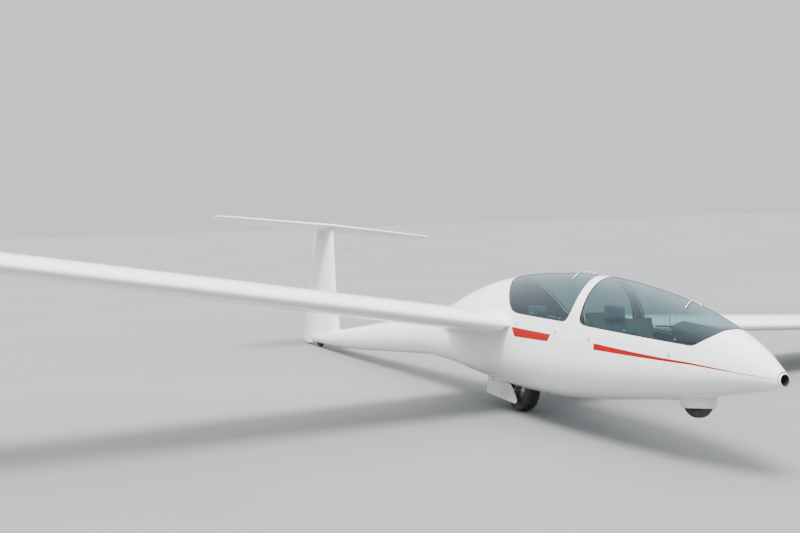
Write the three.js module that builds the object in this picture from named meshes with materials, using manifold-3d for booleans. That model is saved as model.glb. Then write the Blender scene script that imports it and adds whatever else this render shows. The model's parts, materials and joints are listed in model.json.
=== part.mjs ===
// Two-seat sailplane of glass-fibre construction, parked on its main wheel, tail wheel and port wing tip.
// Lengths are millimetres. The aircraft is drawn level in its own axes, then tipped into its parked attitude.
// A station is the distance aft of the nose opening, y is to port and z is up from the nose opening's centre.
import * as THREE from 'three';
import Module from 'manifold-3d';
import { mergeVertices } from 'three/addons/utils/BufferGeometryUtils.js';

const wasm = await Module();
wasm.setup();

// Driving dimensions
const GAP = 0.3; // between pieces that touch
const RUN = 5; // around pieces that move
const SKIN = 10; // fuselage shell, a foam sandwich
const FRAME = 18; // depth of the canopy frames
const GLASS = 4;
const POD_FRONT = 14;
const POD_REAR = 3600;
const BOOM_REAR = 8245;
const CABIN_REAR = 3440;
const RING_SIDES = 28;
const BAY_WALL = 5;

const NOSE_HOLE = 34;
const NOSE_RING = 45;

const HALF_SPAN = 10000;
const TIP_JOINT = 8600;

const MAIN_TYRE = { station: 2925, z: -266, radius: 190, width: 140, rim: 92, axle: 14 };
const NOSE_TYRE = { station: 748, z: -179, radius: 130, width: 82, rim: 58, axle: 10 };
const TAIL_TYRE = { station: 7975, z: 72, radius: 100, width: 48, rim: 42, axle: 8 };
const MAIN_BAY = { front: 2690, rear: 3400, half: 115, top: -62 };
const NOSE_BAY = { front: 596, rear: 900, half: 55, top: -38 };
const TYRE_SIDES = 32;
const SMALL_SIDES = 24;
const SKIRT_SIDES = 20;

// Fuselage sections: station, keel, crown, half width, height of the widest line, roundness above and below it.
const BODY = [
  [0, -44, 44, 44, 0, 2.0, 2.0],
  [60, -64, 94, 80, 10, 2.0, 2.0],
  [200, -92, 208, 150, 28, 2.05, 2.05],
  [450, -132, 350, 226, 46, 2.1, 2.2],
  [800, -182, 498, 295, 60, 2.1, 2.3],
  [1200, -218, 618, 340, 80, 2.1, 2.35],
  [1700, -255, 722, 365, 100, 2.1, 2.35],
  [2200, -272, 775, 365, 115, 2.1, 2.3],
  [2700, -254, 787, 350, 135, 2.1, 2.25],
  [3200, -200, 758, 315, 155, 2.1, 2.15],
  [3700, -133, 675, 262, 175, 2.05, 2.1],
  [4200, -56, 535, 210, 190, 2.0, 2.05],
  [4800, -12, 425, 180, 185, 2.0, 2.0],
  [5600, -15, 350, 160, 165, 2.0, 2.0],
  [6500, -20, 280, 133, 130, 2.0, 2.0],
  [7330, -8, 216, 105, 105, 2.0, 2.0],
  [8100, 28, 182, 70, 100, 2.0, 2.0],
  [8260, 34, 172, 42, 100, 2.0, 2.0],
];
const POD_STATIONS = [14, 60, 120, 200, 320, 450, 620, 800, 1000, 1250, 1500, 1750, 2000, 2300, 2600, 2900,
  3150, 3400, 3600];
const BOOM_STATIONS = [3600, 3800, 4000, 4200, 4500, 4800, 5200, 6500, 7330, BOOM_REAR];

// Wing sections: y, leading edge station, chord, leading edge height, incidence in degrees, thickness ratio.
const WING = [
  [150, 2670, 1130, 294, 2.0, 0.17],
  [386, 2674, 1120, 307, 2.0, 0.17],
  [2900, 2726, 1026, 447, 1.8, 0.168],
  [5500, 2780, 930, 592, 1.5, 0.165],
  [8600, 2945, 640, 764, 0.8, 0.155],
  [9600, 3040, 470, 820, 0.5, 0.15],
  [10000, 3150, 300, 842, 0.5, 0.14],
];
const WING_CAMBER = 0.045;

// Tailplane and fin: place along the span, leading edge station, chord, height or sideways place, thickness.
const TAIL = [
  [0, 7700, 630, 1652, 3.0, 0.12],
  [1250, 7812, 456, 1646, 3.0, 0.115],
  [1540, 7845, 395, 1645, 3.0, 0.11],
  [1600, 7900, 300, 1645, 3.0, 0.09],
];
const FIN = [
  [60, 7270, 1350, 0.105],
  [217, 7327, 1290, 0.11],
  [753, 7523, 1000, 0.12],
  [1587, 7733, 690, 0.125],
  [1618, 7740, 680, 0.125],
];
const FIN_TOP = 1612;
const RUDDER_LINE = { low: [8250, 30], high: [8236, 1606] };
const RUDDER_TAIL = { low: [8631, 71], middle: [8520, 817], high: [8410, 1642] };
const RUDDER_HEEL = [8429, 25];

// Control surfaces: hinge place as a share of the chord, and the stretch of span that each takes.
const AILERON = { hinge: 0.8, from: 5400, to: 8450, brackets: [5900, 7000, 8000] };
const ELEVATOR = { hinge: 0.7, from: 95, to: 1530, brackets: [500, 1200] };
const EYE = { half: 8, play: 0.8 }; // the notch around each hinge eye, and how much shorter the eye is at each end
const PROBE = { root: 1251, radius: 4.5 };
const AIRBRAKE = { from: 2700, to: 4100, share: 0.47, width: 26, depth: 115, travel: 110 };

// Canopy outlines in side view, station and height. The sill is one straight line along both canopies.
const SILL = { z: 60, slope: 0.107 };
const sill = (station) => SILL.z + SILL.slope * station;
const SKY = 1100;
const FRONT_PANEL = [[334, SKY], [334, 290], [352, 252], [384, 216], [430, 188], [472, 163], [504, 141],
  [545, 127], [610, sill(610)], [1728, sill(1728)], [1728, SKY]];
const FRONT_GLASS = [[380, SKY], [380, 316], [402, 309], [418, 299], [444, 271], [504, 232], [556, 197],
  [584, 191], [620, 196], [1600, 311], [1662, 328], [1692, 356], [1698, 392], [1698, SKY]];
const REAR_PANEL = [[1760, SKY], [1764, 600], [1784, 450], [1822, 320], [1850, sill(1850)], [2660, sill(2660)],
  [2740, 375], [2800, 445], [2860, 545], [2930, 635], [3000, 710], [3036, 745], [3040, SKY]];
const REAR_GLASS = [[1808, SKY], [1806, 700], [1796, 640], [1800, 550], [1812, 468], [1832, 392], [1858, 354],
  [1892, 343], [2548, 408], [2632, 420], [2700, 452], [2756, 501], [2804, 559], [2868, 635], [2916, 697],
  [2974, 750], [2988, SKY]];
const HINGES = { front: [760, 1540], rear: [1990, 2540] };
const KNUCKLE = { radius: 6, length: 16, standoff: 10 };

// Shades and finishes
const finish = (color, roughness, metalness = 0, extra = {}) =>
  new THREE.MeshStandardMaterial({ color, roughness, metalness, ...extra });
const GELCOAT = finish(0xf2f2ee, 0.2);
const CLEAR = finish(0x50605c, 0.05, 0, { transparent: true, opacity: 0.35 });
const GREY_LINER = finish(0x8c8f90, 0.8);
const DARK_PANEL = finish(0x24262a, 0.6);
const CLOTH = finish(0x30343c, 0.95);
const RUBBER = finish(0x17181a, 0.85);
const STEEL = finish(0x9a9c9e, 0.35, 0.9);
const ALLOY = finish(0xc9cbcc, 0.35, 0.9);

// Interpolates one column of a table whose first column rises, with no overshoot between the rows.
function column(table, index, place) {
  const last = table.length - 1;
  let row = 0;
  while (row < last - 1 && place > table[row + 1][0]) row += 1;
  const step = (i) => table[i + 1][0] - table[i][0];
  const rise = (i) => (table[i + 1][index] - table[i][index]) / step(i);
  const slope = (i) => {
    if (i === 0) return rise(0);
    if (i === last) return rise(last - 1);
    const [before, after] = [rise(i - 1), rise(i)];
    if (before * after <= 0) return 0;
    const near = 2 * step(i) + step(i - 1);
    const far = step(i) + 2 * step(i - 1);
    return (near + far) / (near / before + far / after);
  };
  const width = step(row);
  const t = Math.min(Math.max((place - table[row][0]) / width, 0), 1);
  const ease = t * t * (3 - 2 * t);
  return table[row][index] * (1 - ease) + table[row + 1][index] * ease
    + width * (t * (1 - t) ** 2 * slope(row) - t * t * (1 - t) * slope(row + 1));
}

// Straight-line version, for surfaces built from flat-tapered panels.
function straight(table, index, place) {
  let row = 0;
  while (row < table.length - 2 && place > table[row + 1][0]) row += 1;
  const share = (place - table[row][0]) / (table[row + 1][0] - table[row][0]);
  return table[row][index] + share * (table[row + 1][index] - table[row][index]);
}

// Solids: every shape becomes a closed solid that can be joined and cut.
function solid(geometry) {
  const bare = geometry.clone();
  bare.deleteAttribute('normal');
  bare.deleteAttribute('uv');
  const merged = mergeVertices(bare, 1e-3);
  const index = merged.index.array;
  const corners = [];
  for (let i = 0; i < index.length; i += 3) {
    const [a, b, c] = [index[i], index[i + 1], index[i + 2]];
    if (a !== b && b !== c && c !== a) corners.push(a, b, c);
  }
  const vertProperties = new Float32Array(merged.attributes.position.array);
  if (volumeOf(vertProperties, corners) < 0) corners.reverse();
  return new wasm.Manifold(new wasm.Mesh({ numProp: 3, vertProperties, triVerts: new Uint32Array(corners) }));
}

function volumeOf(points, corners) {
  const corner = (k) => new THREE.Vector3().fromArray(points, corners[k] * 3);
  let sum = 0;
  for (let i = 0; i < corners.length; i += 3) sum += corner(i).dot(corner(i + 1).cross(corner(i + 2)));
  return sum;
}

function geometryOf(shape) {
  const { vertProperties, triVerts } = shape.getMesh();
  const geometry = new THREE.BufferGeometry();
  geometry.setAttribute('position', new THREE.BufferAttribute(new Float32Array(vertProperties), 3));
  geometry.setIndex(new THREE.BufferAttribute(new Uint32Array(triVerts), 1));
  geometry.computeVertexNormals();
  return geometry;
}

const join = (shapes) => shapes.reduce((whole, next) => whole.add(next));
const cut = (shape, ...tools) => tools.reduce((left, tool) => left.subtract(tool), shape);

// A skin through closed rings of equal count, with flat ends. Each ring is a list of [station, y, z].
function loft(rings) {
  const count = rings[0].length;
  const points = rings.flat().map(([station, y, z]) => [-station, y, z]);
  const corners = [];
  for (let r = 0; r + 1 < rings.length; r += 1) {
    for (let i = 0; i < count; i += 1) {
      const [a, b] = [r * count + i, r * count + (i + 1) % count];
      corners.push(a, b, b + count, a, b + count, a + count);
    }
  }
  [0, rings.length - 1].forEach((r) => {
    const cap = capCorners(points.slice(r * count, (r + 1) * count)).map((i) => i + r * count);
    corners.push(...(r === 0 ? cap.reverse() : cap));
  });
  const geometry = new THREE.BufferGeometry();
  geometry.setAttribute('position', new THREE.Float32BufferAttribute(points.flat(), 3));
  geometry.setIndex(corners);
  return solid(geometry);
}

// Fills one flat ring with triangles that turn the same way as the ring does.
function capCorners(ring) {
  const spans = [0, 1, 2].map((axis) => {
    const values = ring.map((point) => point[axis]);
    return Math.max(...values) - Math.min(...values);
  });
  const thin = spans.indexOf(Math.min(...spans));
  const [p, q] = [0, 1, 2].filter((axis) => axis !== thin);
  const outline = ring.map((point) => new THREE.Vector2(point[p], point[q]));
  const turns = THREE.ShapeUtils.area(outline) > 0;
  const faces = THREE.ShapeUtils.triangulateShape(outline, []);
  return faces.flatMap(([a, b, c]) => {
    const face = [outline[a], outline[b], outline[c]];
    return (THREE.ShapeUtils.area(face) > 0) === turns ? [a, b, c] : [a, c, b];
  });
}

// A slab whose side view is the given outline, between two sideways places.
function slab(outline, from, to) {
  return loft([from, to].map((y) => outline.map(([station, z]) => [station, y, z])));
}

function box(front, rear, left, right, low, high) {
  return slab([[front, low], [rear, low], [rear, high], [front, high]], left, right);
}

// A round bar from one point to another, both [station, y, z].
function bar(from, to, radius, sides = 12) {
  const [a, b] = [from, to].map(([station, y, z]) => new THREE.Vector3(-station, y, z));
  const length = a.distanceTo(b);
  const geometry = new THREE.CylinderGeometry(radius, radius, length, sides);
  geometry.applyQuaternion(new THREE.Quaternion().setFromUnitVectors(
    new THREE.Vector3(0, 1, 0), b.clone().sub(a).normalize()));
  const middle = a.add(b).multiplyScalar(0.5);
  geometry.translate(middle.x, middle.y, middle.z);
  return solid(geometry);
}

// A round bar straight across the aircraft, reaching as far to each side.
function crossBar({ station, z }, half, radius) {
  return bar([station, -half, z], [station, half, z], radius);
}

// A turned piece about a sideways axle. The profile is a closed list of [radius, sideways place].
function turned(profile, station, z, sides, phase = 0) {
  const points = [...profile, profile[0]].map(([radius, y]) => new THREE.Vector2(radius, y));
  const geometry = new THREE.LatheGeometry(points, sides, phase);
  geometry.translate(-station, 0, z);
  return solid(geometry);
}

// Moves an outline's edges outwards, or inwards where the distance is negative.
function grown(outline, distance) {
  const corners = outline.map(([station, z]) => new THREE.Vector2(station, z));
  const side = THREE.ShapeUtils.area(corners) > 0 ? 1 : -1;
  return corners.map((corner, i) => {
    const before = corners[(i + corners.length - 1) % corners.length];
    const after = corners[(i + 1) % corners.length];
    const [inward, outward] = [corner.clone().sub(before).normalize(), after.clone().sub(corner).normalize()];
    const normal = (edge) => new THREE.Vector2(edge.y, -edge.x).multiplyScalar(side);
    const mitre = normal(inward).add(normal(outward)).normalize();
    const reach = distance / Math.max(mitre.dot(normal(outward)), 0.3);
    return [corner.x + mitre.x * reach, corner.y + mitre.y * reach];
  });
}

// Fuselage
function bodyRow(station) {
  const [keel, crown, half, wide, above, below] = [1, 2, 3, 4, 5, 6].map((i) => column(BODY, i, station));
  return { keel, crown, half, wide, above, below };
}

function bodyRing(station, inset = 0, sides = RING_SIDES) {
  const row = bodyRow(station);
  return Array.from({ length: sides }, (_, i) => {
    const angle = (2 * Math.PI * i) / sides;
    const [across, up] = [Math.cos(angle), Math.sin(angle)];
    const power = 2 / (up >= 0 ? row.above : row.below);
    const tall = (up >= 0 ? row.crown - row.wide : row.wide - row.keel) - inset;
    return [station, (row.half - inset) * Math.sign(across) * Math.abs(across) ** power,
      row.wide + tall * Math.sign(up) * Math.abs(up) ** power];
  });
}

// Half width of the fuselage at a height.
function bodyHalf(station, z, inset = 0) {
  const row = bodyRow(station);
  const [tall, power] = z > row.wide ? [row.crown - row.wide, row.above] : [row.wide - row.keel, row.below];
  const share = Math.min(Math.abs(z - row.wide) / (tall - inset), 1);
  return (row.half - inset) * (1 - share ** power) ** (1 / power);
}

function hull(stations, inset) {
  return loft(stations.map((station) => bodyRing(station, inset)));
}

const outer = hull(POD_STATIONS, 0);
const cabinStations = [...POD_STATIONS.filter((station) => station < CABIN_REAR), CABIN_REAR];
const cavity = hull([POD_FRONT - 10, ...cabinStations], SKIN);
const cabin = hull(cabinStations, SKIN + GAP); // what is fitted inside stops at the cavity's wall
const WIDE = 600;

// Canopies
function hingeLine([front, rear]) {
  const edge = (station) => -bodyHalf(station, sill(station));
  const chord = (station) => edge(front) + ((edge(rear) - edge(front)) * (station - front)) / (rear - front);
  let bulge = 0;
  for (let station = front - 250; station <= rear + 250; station += 50) {
    bulge = Math.max(bulge, chord(station) - edge(station));
  }
  return (station) => [station, chord(station) - bulge - KNUCKLE.standoff, sill(station)];
}

// Knuckles at each hinge station: the fixed ones reach down to the shell, the moving ones up to the frame.
function knuckles(stations, moving) {
  const line = hingeLine(stations);
  return join(stations.map((station) => {
    const [from, to] = moving ? [station, station + KNUCKLE.length]
      : [station - GAP - KNUCKLE.length, station - GAP];
    const middle = (from + to) / 2;
    const reach = moving ? 22 : -22;
    const depth = moving ? FRAME / 2 : SKIN / 2;
    const foot = [middle, -bodyHalf(middle, sill(middle) + reach) + depth, sill(middle) + reach];
    return bar(line(from), line(to), KNUCKLE.radius).add(bar(line(middle), foot, 4, 8));
  }));
}

function canopy(panel, glass, hinges) {
  const frameShell = outer.subtract(hull(POD_STATIONS, FRAME));
  const glassShell = outer.subtract(hull(POD_STATIONS, GLASS));
  const pane = slab(grown(glass, -GAP), -WIDE, WIDE);
  const opening = slab(glass, -WIDE, WIDE);
  return {
    frame: frameShell.intersect(slab(grown(panel, -RUN), -WIDE, WIDE)).subtract(opening)
      .add(knuckles(hinges, true)),
    glass: glassShell.intersect(pane),
  };
}

const frontCanopy = canopy(FRONT_PANEL, FRONT_GLASS, HINGES.front);
const rearCanopy = canopy(REAR_PANEL, REAR_GLASS, HINGES.rear);

// A wheel bay is a box with no floor, let into the belly.
function bayBox(bay) {
  return cut(bayHole(bay, BAY_WALL), bayHole(bay, 0)).intersect(cabin);
}
function bayHole(bay, wall) {
  return box(bay.front - wall, bay.rear + wall, -bay.half - wall, bay.half + wall, -500, bay.top + wall);
}

const pod = cut(
  outer, cavity, bayHole(MAIN_BAY, 0), bayHole(NOSE_BAY, 0),
  slab(FRONT_PANEL, -WIDE, WIDE), slab(REAR_PANEL, -WIDE, WIDE),
).add(knuckles(HINGES.front, false)).add(knuckles(HINGES.rear, false));

// Wings, tailplane and fin share one family of sections.
const SECTION_STEPS = 10;
const THIN_EDGE = 0.0015; // half thickness of a trailing edge, as a share of the chord
const CREST = 0.4; // where the camber line is highest, as a share of the chord
const halfThickness = (x, thickness) => 5 * thickness
  * (0.2969 * Math.sqrt(x) - 0.126 * x - 0.3516 * x * x + 0.2843 * x ** 3 - 0.1015 * x ** 4);
const bend = (x, camber) => (x < CREST ? (camber / CREST ** 2) * (2 * CREST * x - x * x)
  : (camber / (1 - CREST) ** 2) * (1 - 2 * CREST + 2 * CREST * x - x * x));
function sectionOutline(thickness, camber) {
  const surface = (x, side) => {
    const half = Math.max(halfThickness(x, thickness), THIN_EDGE);
    return [x, bend(x, camber) + side * half];
  };
  const steps = Array.from({ length: SECTION_STEPS + 1 },
    (_, i) => (1 - Math.cos((Math.PI * i) / SECTION_STEPS)) / 2);
  return [...[...steps].reverse().map((x) => surface(x, 1)), ...steps.slice(1).map((x) => surface(x, -1))];
}

// One section of a wing-like surface, as [share of chord, height share] turned into aircraft axes.
function placeSection(outline, lead, chord, height, incidence) {
  const tilt = THREE.MathUtils.degToRad(incidence);
  return outline.map(([x, z]) => [lead + chord * (x * Math.cos(tilt) + z * Math.sin(tilt)),
    height + chord * (z * Math.cos(tilt) - x * Math.sin(tilt))]);
}

function spanRow(table, y) {
  const [lead, chord, height, incidence, thickness] = [1, 2, 3, 4, 5].map(
    (i) => straight(table, i, Math.abs(y)));
  return { lead, chord, height, incidence, thickness };
}

function spanRing(table, y, camber) {
  const { lead, chord, height, incidence, thickness } = spanRow(table, y);
  return placeSection(sectionOutline(thickness, camber), lead, chord, height, incidence)
    .map(([station, z]) => [station, y, z]);
}

// Centre and radius of a control surface's round nose at one place along the span.
function noseAt(table, y, camber, share) {
  const { lead, chord, height, incidence, thickness } = spanRow(table, y);
  const centre = [share, bend(share, camber)];
  const [[station, z]] = placeSection([centre], lead, chord, height, incidence);
  return { station, z, radius: halfThickness(share, thickness) * chord * 0.985 };
}

// The D-shaped room around a control surface: round ahead of the hinge, open to behind the trailing edge.
function hingeRing(nose, y, margin, tail) {
  const radius = nose.radius + margin;
  const steps = 10;
  const round = Array.from({ length: steps + 1 }, (_, i) => {
    const angle = Math.PI / 2 + (Math.PI * i) / steps;
    return [nose.station + radius * Math.cos(angle), y, nose.z + radius * Math.sin(angle)];
  });
  const flare = radius + tail * 0.2;
  return [...round, [nose.station + tail, y, nose.z - flare], [nose.station + tail, y, nose.z + flare]];
}

// Splits a control surface off a wing: returns the wing with its room cut out, and the surface itself.
function splitControl(whole, table, camber, { hinge, from, to, brackets }, side) {
  const places = [from, ...table.map((row) => row[0]).filter((y) => y > from && y < to), to];
  const room = (margin, ends) => loft(places.map((y, i) => {
    const end = i === 0 ? -ends : i === places.length - 1 ? ends : 0;
    return hingeRing(noseAt(table, y, camber, hinge), side * (y + end), margin, 400);
  }));
  const along = (y) => {
    const nose = noseAt(table, y, camber, hinge);
    return [nose.station, side * y, nose.z];
  };
  const eyes = join(brackets.map((y) => {
    const nose = noseAt(table, y, camber, hinge);
    const root = [nose.station - nose.radius - RUN - 12, side * y, nose.z];
    const reach = EYE.half - EYE.play;
    return bar(along(y - reach), along(y + reach), 5, 10).add(bar(along(y), root, 4, 8));
  }));
  const notches = join(brackets.map((y) => {
    const nose = noseAt(table, y, camber, hinge);
    return box(nose.station - 60, nose.station + 8, side * y - EYE.half, side * y + EYE.half,
      nose.z - 60, nose.z + 60);
  }));
  return {
    wing: whole.subtract(room(RUN, RUN)).add(eyes),
    surface: whole.intersect(room(0, 0)).subtract(notches),
    line: [along(from), along(to)],
  };
}

function wingSide(side) {
  const rows = WING.map((row) => row[0]);
  const panel = (places) => loft(places.map((y) => spanRing(WING, side * y, WING_CAMBER)));
  const inner = panel([...rows.filter((y) => y < TIP_JOINT), TIP_JOINT]);
  const tip = panel([TIP_JOINT + GAP, ...rows.filter((y) => y > TIP_JOINT)]);
  const besideWing = (station) => station > 2400 && station < 5000;
  const fitted = cut(inner, hull([...POD_STATIONS, ...BOOM_STATIONS.slice(1)].filter(besideWing), -GAP));
  const split = splitControl(fitted, WING, WING_CAMBER, AILERON, side);
  return { ...split, tip };
}
const port = wingSide(1);
const starboard = wingSide(-1);

// Airbrakes lie flush in the upper surface and rise out of it.
function airbrake(side) {
  const edge = (y, reach) => {
    const ring = spanRing(WING, side * y, WING_CAMBER);
    const upper = ring.slice(0, SECTION_STEPS + 1).sort((a, b) => a[0] - b[0]);
    const lead = straight(WING, 1, y);
    const middle = lead + straight(WING, 2, y) * AIRBRAKE.share;
    const height = (station) => {
      const next = upper.findIndex((point) => point[0] > station);
      const [a, b] = [upper[next - 1], upper[next]];
      return a[2] + ((b[2] - a[2]) * (station - a[0])) / (b[0] - a[0]);
    };
    return { middle, front: height(middle - reach), rear: height(middle + reach) };
  };
  const half = AIRBRAKE.width / 2;
  const ringAt = (y, margin, bottom, flush) => {
    const reach = half + margin;
    const { middle, front, rear } = edge(y, reach);
    const top = flush ? 0 : 80;
    return [[middle - reach, side * y, front - bottom], [middle + reach, side * y, rear - bottom],
      [middle + reach, side * y, rear + top], [middle - reach, side * y, front + top]];
  };
  const places = (extra) => [AIRBRAKE.from - extra, (AIRBRAKE.from + AIRBRAKE.to) / 2, AIRBRAKE.to + extra];
  const slot = loft(places(RUN).map((y) => ringAt(y, RUN, AIRBRAKE.depth + 4, false)));
  const cap = loft(places(0).map((y) => ringAt(y, 0, 8, true)));
  const paddle = loft(places(-20).map((y) => {
    const { middle, front } = edge(y, 5);
    return [[middle - 4, side * y, front - AIRBRAKE.depth], [middle + 4, side * y, front - AIRBRAKE.depth],
      [middle + 4, side * y, front - 3], [middle - 4, side * y, front - 3]];
  }));
  const guide = join([AIRBRAKE.from + 200, AIRBRAKE.to - 200].map((y) => {
    const { middle, front } = edge(y, 5);
    const low = front - AIRBRAKE.depth + 6;
    return bar([middle + 4 + GAP, side * y, low + 10], [middle + half + RUN + 6, side * y, low + 10], 4, 8);
  }));
  return { slot, guide, blade: cap.add(paddle) };
}
const portBrake = airbrake(1);
const starboardBrake = airbrake(-1);

function tipSkid(side) {
  const y = 9780;
  const ring = spanRing(WING, side * y, WING_CAMBER);
  const low = Math.min(...ring.map((point) => point[2]));
  const lead = straight(WING, 1, y);
  const outline = [[lead + 60, low + 30], [lead + 80, low - 6], [lead + 130, low - 22], [lead + 200, low - 22],
    [lead + 270, low - 4], [lead + 290, low + 30]];
  const tip = side > 0 ? port.tip : starboard.tip;
  return slab(outline, side * (y - 9), side * (y + 9)).subtract(grownTip(tip));
}
// A wing tip, thickened downwards by the fitting gap.
function grownTip(tip) {
  return join([tip, tip.translate([0, 0, -GAP]), tip.translate([0, 0, 60])]);
}

// Tail boom with its wheel slot
const boomOuter = hull(BOOM_STATIONS.map((station) => (station === POD_REAR ? POD_REAR + GAP : station)), 0);
const tailSlot = box(TAIL_TYRE.station - 112, TAIL_TYRE.station + 112, -32, 32, -200, TAIL_TYRE.z + 103);
const BOOM_HOLLOW_TO = 7700;
const boomRows = BOOM_STATIONS.filter((station) => station > POD_REAR && station < BOOM_HOLLOW_TO);
const boomInside = hull([POD_REAR - 10, ...boomRows, BOOM_HOLLOW_TO], SKIN);
const tailAxle = crossBar(TAIL_TYRE, 40, TAIL_TYRE.axle);

// Fin: level slices, cut off behind the rudder's hinge line and fitted over the boom.
function finRing(z) {
  const [lead, chord, thickness] = [1, 2, 3].map((i) => straight(FIN, i, z));
  return sectionOutline(thickness, 0).map(([x, y]) => [lead + x * chord, y * chord, z]);
}
const FIN_LEVELS = [100, 217, 753, 1250, FIN_TOP];
// The station at which a straight line through two [station, z] points reaches a height.
const stationAt = ([a, b], z) => a[0] + ((b[0] - a[0]) * (z - a[1])) / (b[1] - a[1]);
const hingeStation = (z) => stationAt([RUDDER_LINE.low, RUDDER_LINE.high], z);
function finHalf(z) {
  const [lead, chord, thickness] = [1, 2, 3].map((i) => straight(FIN, i, z));
  return chord * halfThickness((hingeStation(z) - lead) / chord, thickness);
}
function rudderRoom(z, margin) {
  const centre = hingeStation(z);
  const radius = finHalf(z) + margin;
  const round = Array.from({ length: 11 }, (_, i) => {
    const angle = Math.PI / 2 + (Math.PI * i) / 10;
    return [centre + radius * Math.cos(angle), radius * Math.sin(angle), z];
  });
  return [...round, [centre + 600, -radius, z], [centre + 600, radius, z]];
}
const hingePoint = (z) => [hingeStation(z), 0, z];
const finWhole = loft(FIN_LEVELS.map(finRing));
const RUDDER_EYES = [330, 900, 1450];
const rudderEyes = join(RUDDER_EYES.map((z) => {
  const centre = hingeStation(z);
  const reach = EYE.half - EYE.play;
  return bar([centre, 0, z - reach], [centre, 0, z + reach], 6, 10)
    .add(bar([centre, 0, z], [centre - finHalf(z) - RUN - 12, 0, z], 4, 8));
}));
const boomGrown = hull([...BOOM_STATIONS.slice(0, -1), BOOM_REAR + GAP], -GAP);
const rudderSpace = loft([-50, 400, 1000, 1700].map((z) => rudderRoom(z, RUN)));
const fin = cut(finWhole, boomGrown, rudderSpace).add(rudderEyes);
const boom = cut(boomOuter, boomInside, tailSlot, rudderSpace).add(tailAxle);

// Rudder: round nose on the hinge line, thin trailing edge, sloping heel.
function rudderTail(z) {
  const { low, middle, high } = RUDDER_TAIL;
  return stationAt(z < middle[1] ? [low, middle] : [middle, high], z);
}
function rudderRing(z) {
  const centre = hingeStation(z);
  const radius = finHalf(z) - 1;
  const tail = rudderTail(z);
  const round = Array.from({ length: 9 }, (_, i) => {
    const angle = Math.PI / 2 + (Math.PI * i) / 8;
    return [centre + radius * Math.cos(angle), radius * Math.sin(angle), z];
  });
  return [...round, [tail, -2, z], [tail, 2, z]];
}
const heelCut = slab([[8100, -200], [8900, -200], [8900, 133], [RUDDER_TAIL.low[0], RUDDER_TAIL.low[1]],
  RUDDER_HEEL, [8100, 34]], -200, 200);
const RUDDER_TOP = 1590;
const rudderNotches = join(RUDDER_EYES.map((z) => {
  const centre = hingeStation(z);
  return box(centre - 120, centre + 9, -100, 100, z - EYE.half, z + EYE.half);
}));
const rudder = loft([-20, 71, 817, 1250, RUDDER_TOP].map(rudderRing)).subtract(heelCut).subtract(rudderNotches);

// Tailplane sits on the fin. The rudder's nose and its movement stay clear below it.
const tailRows = TAIL.map((row) => row[0]);
const tailPlaces = [...tailRows.slice(1).reverse().map((y) => -y), ...tailRows];
const tailWhole = loft(tailPlaces.map((y) => spanRing(TAIL, y, 0)));
const tailSeat = cut(tailWhole, finWhole.translate([0, 0, GAP]));
const elevatorLeft = splitControl(tailSeat, TAIL, 0, ELEVATOR, 1);
const elevatorRight = splitControl(elevatorLeft.wing, TAIL, 0, ELEVATOR, -1);

// Both elevator halves turn as one on a torque tube across the fin.
const spine = noseAt(TAIL, 0, 0, ELEVATOR.hinge);
const TORQUE_TUBE = 8;
const torqueTube = crossBar(spine, ELEVATOR.from + 15, TORQUE_TUBE);
const tubeRoom = crossBar(spine, ELEVATOR.from + 2, TORQUE_TUBE + RUN);
const elevator = elevatorLeft.surface.add(elevatorRight.surface).add(torqueTube);
const tailplane = elevatorRight.wing.subtract(tubeRoom);

// Probe on the fin's leading edge, bent near its tip.
function probePiece() {
  const bends = [[7260, 0, 1290], [7190, 0, 1298], [7151, 0, 1322]];
  const points = [[straight(FIN, 1, PROBE.root) + 20, 0, PROBE.root], ...bends];
  const tube = join(bends.map((end, i) => bar(points[i], end, PROBE.radius, 10)));
  return tube.subtract(finWhole.translate([GAP, 0, 0]));
}

// Wheels
// A faceted hole around a faceted shaft: wide enough that the flats of the hole clear the shaft's corners.
const bored = (radius, sides) => (radius + GAP) / Math.cos(Math.PI / sides);
const tread = ({ radius, width, rim }, sides) => {
  const half = width / 2;
  const bead = bored(rim, sides);
  return [[bead, -half * 0.62], [radius * 0.8, -half], [radius * 0.95, -half * 0.82], [radius, -half * 0.4],
    [radius, half * 0.4], [radius * 0.95, half * 0.82], [radius * 0.8, half], [bead, half * 0.62]];
};
const hub = ({ width, rim }, bore) => {
  const half = width / 2;
  return [[bore, -half * 0.55], [rim * 0.5, -half * 0.5], [rim * 0.85, -half * 0.3], [rim, -half * 0.6],
    [rim, half * 0.6], [rim * 0.85, half * 0.3], [rim * 0.5, half * 0.5], [bore, half * 0.55]];
};
// A flat of the tread stands on the ground once the aircraft sits tail-down by this angle.
const TAIL_DOWN = THREE.MathUtils.degToRad(4.8);
const flatPhase = (sides) => TAIL_DOWN + Math.PI / sides + Math.PI / 2;
const RIM_SIDES = 16;
const wheelPieces = (wheel, sides) => ({
  tyre: turned(tread(wheel, sides), wheel.station, wheel.z, sides, flatPhase(sides)),
  rim: turned(hub(wheel, bored(wheel.axle, RIM_SIDES)), wheel.station, wheel.z, RIM_SIDES),
});
const mainWheel = wheelPieces(MAIN_TYRE, TYRE_SIDES);
const noseWheel = wheelPieces(NOSE_TYRE, SMALL_SIDES);
const tailWheel = wheelPieces(TAIL_TYRE, SMALL_SIDES);

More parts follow.
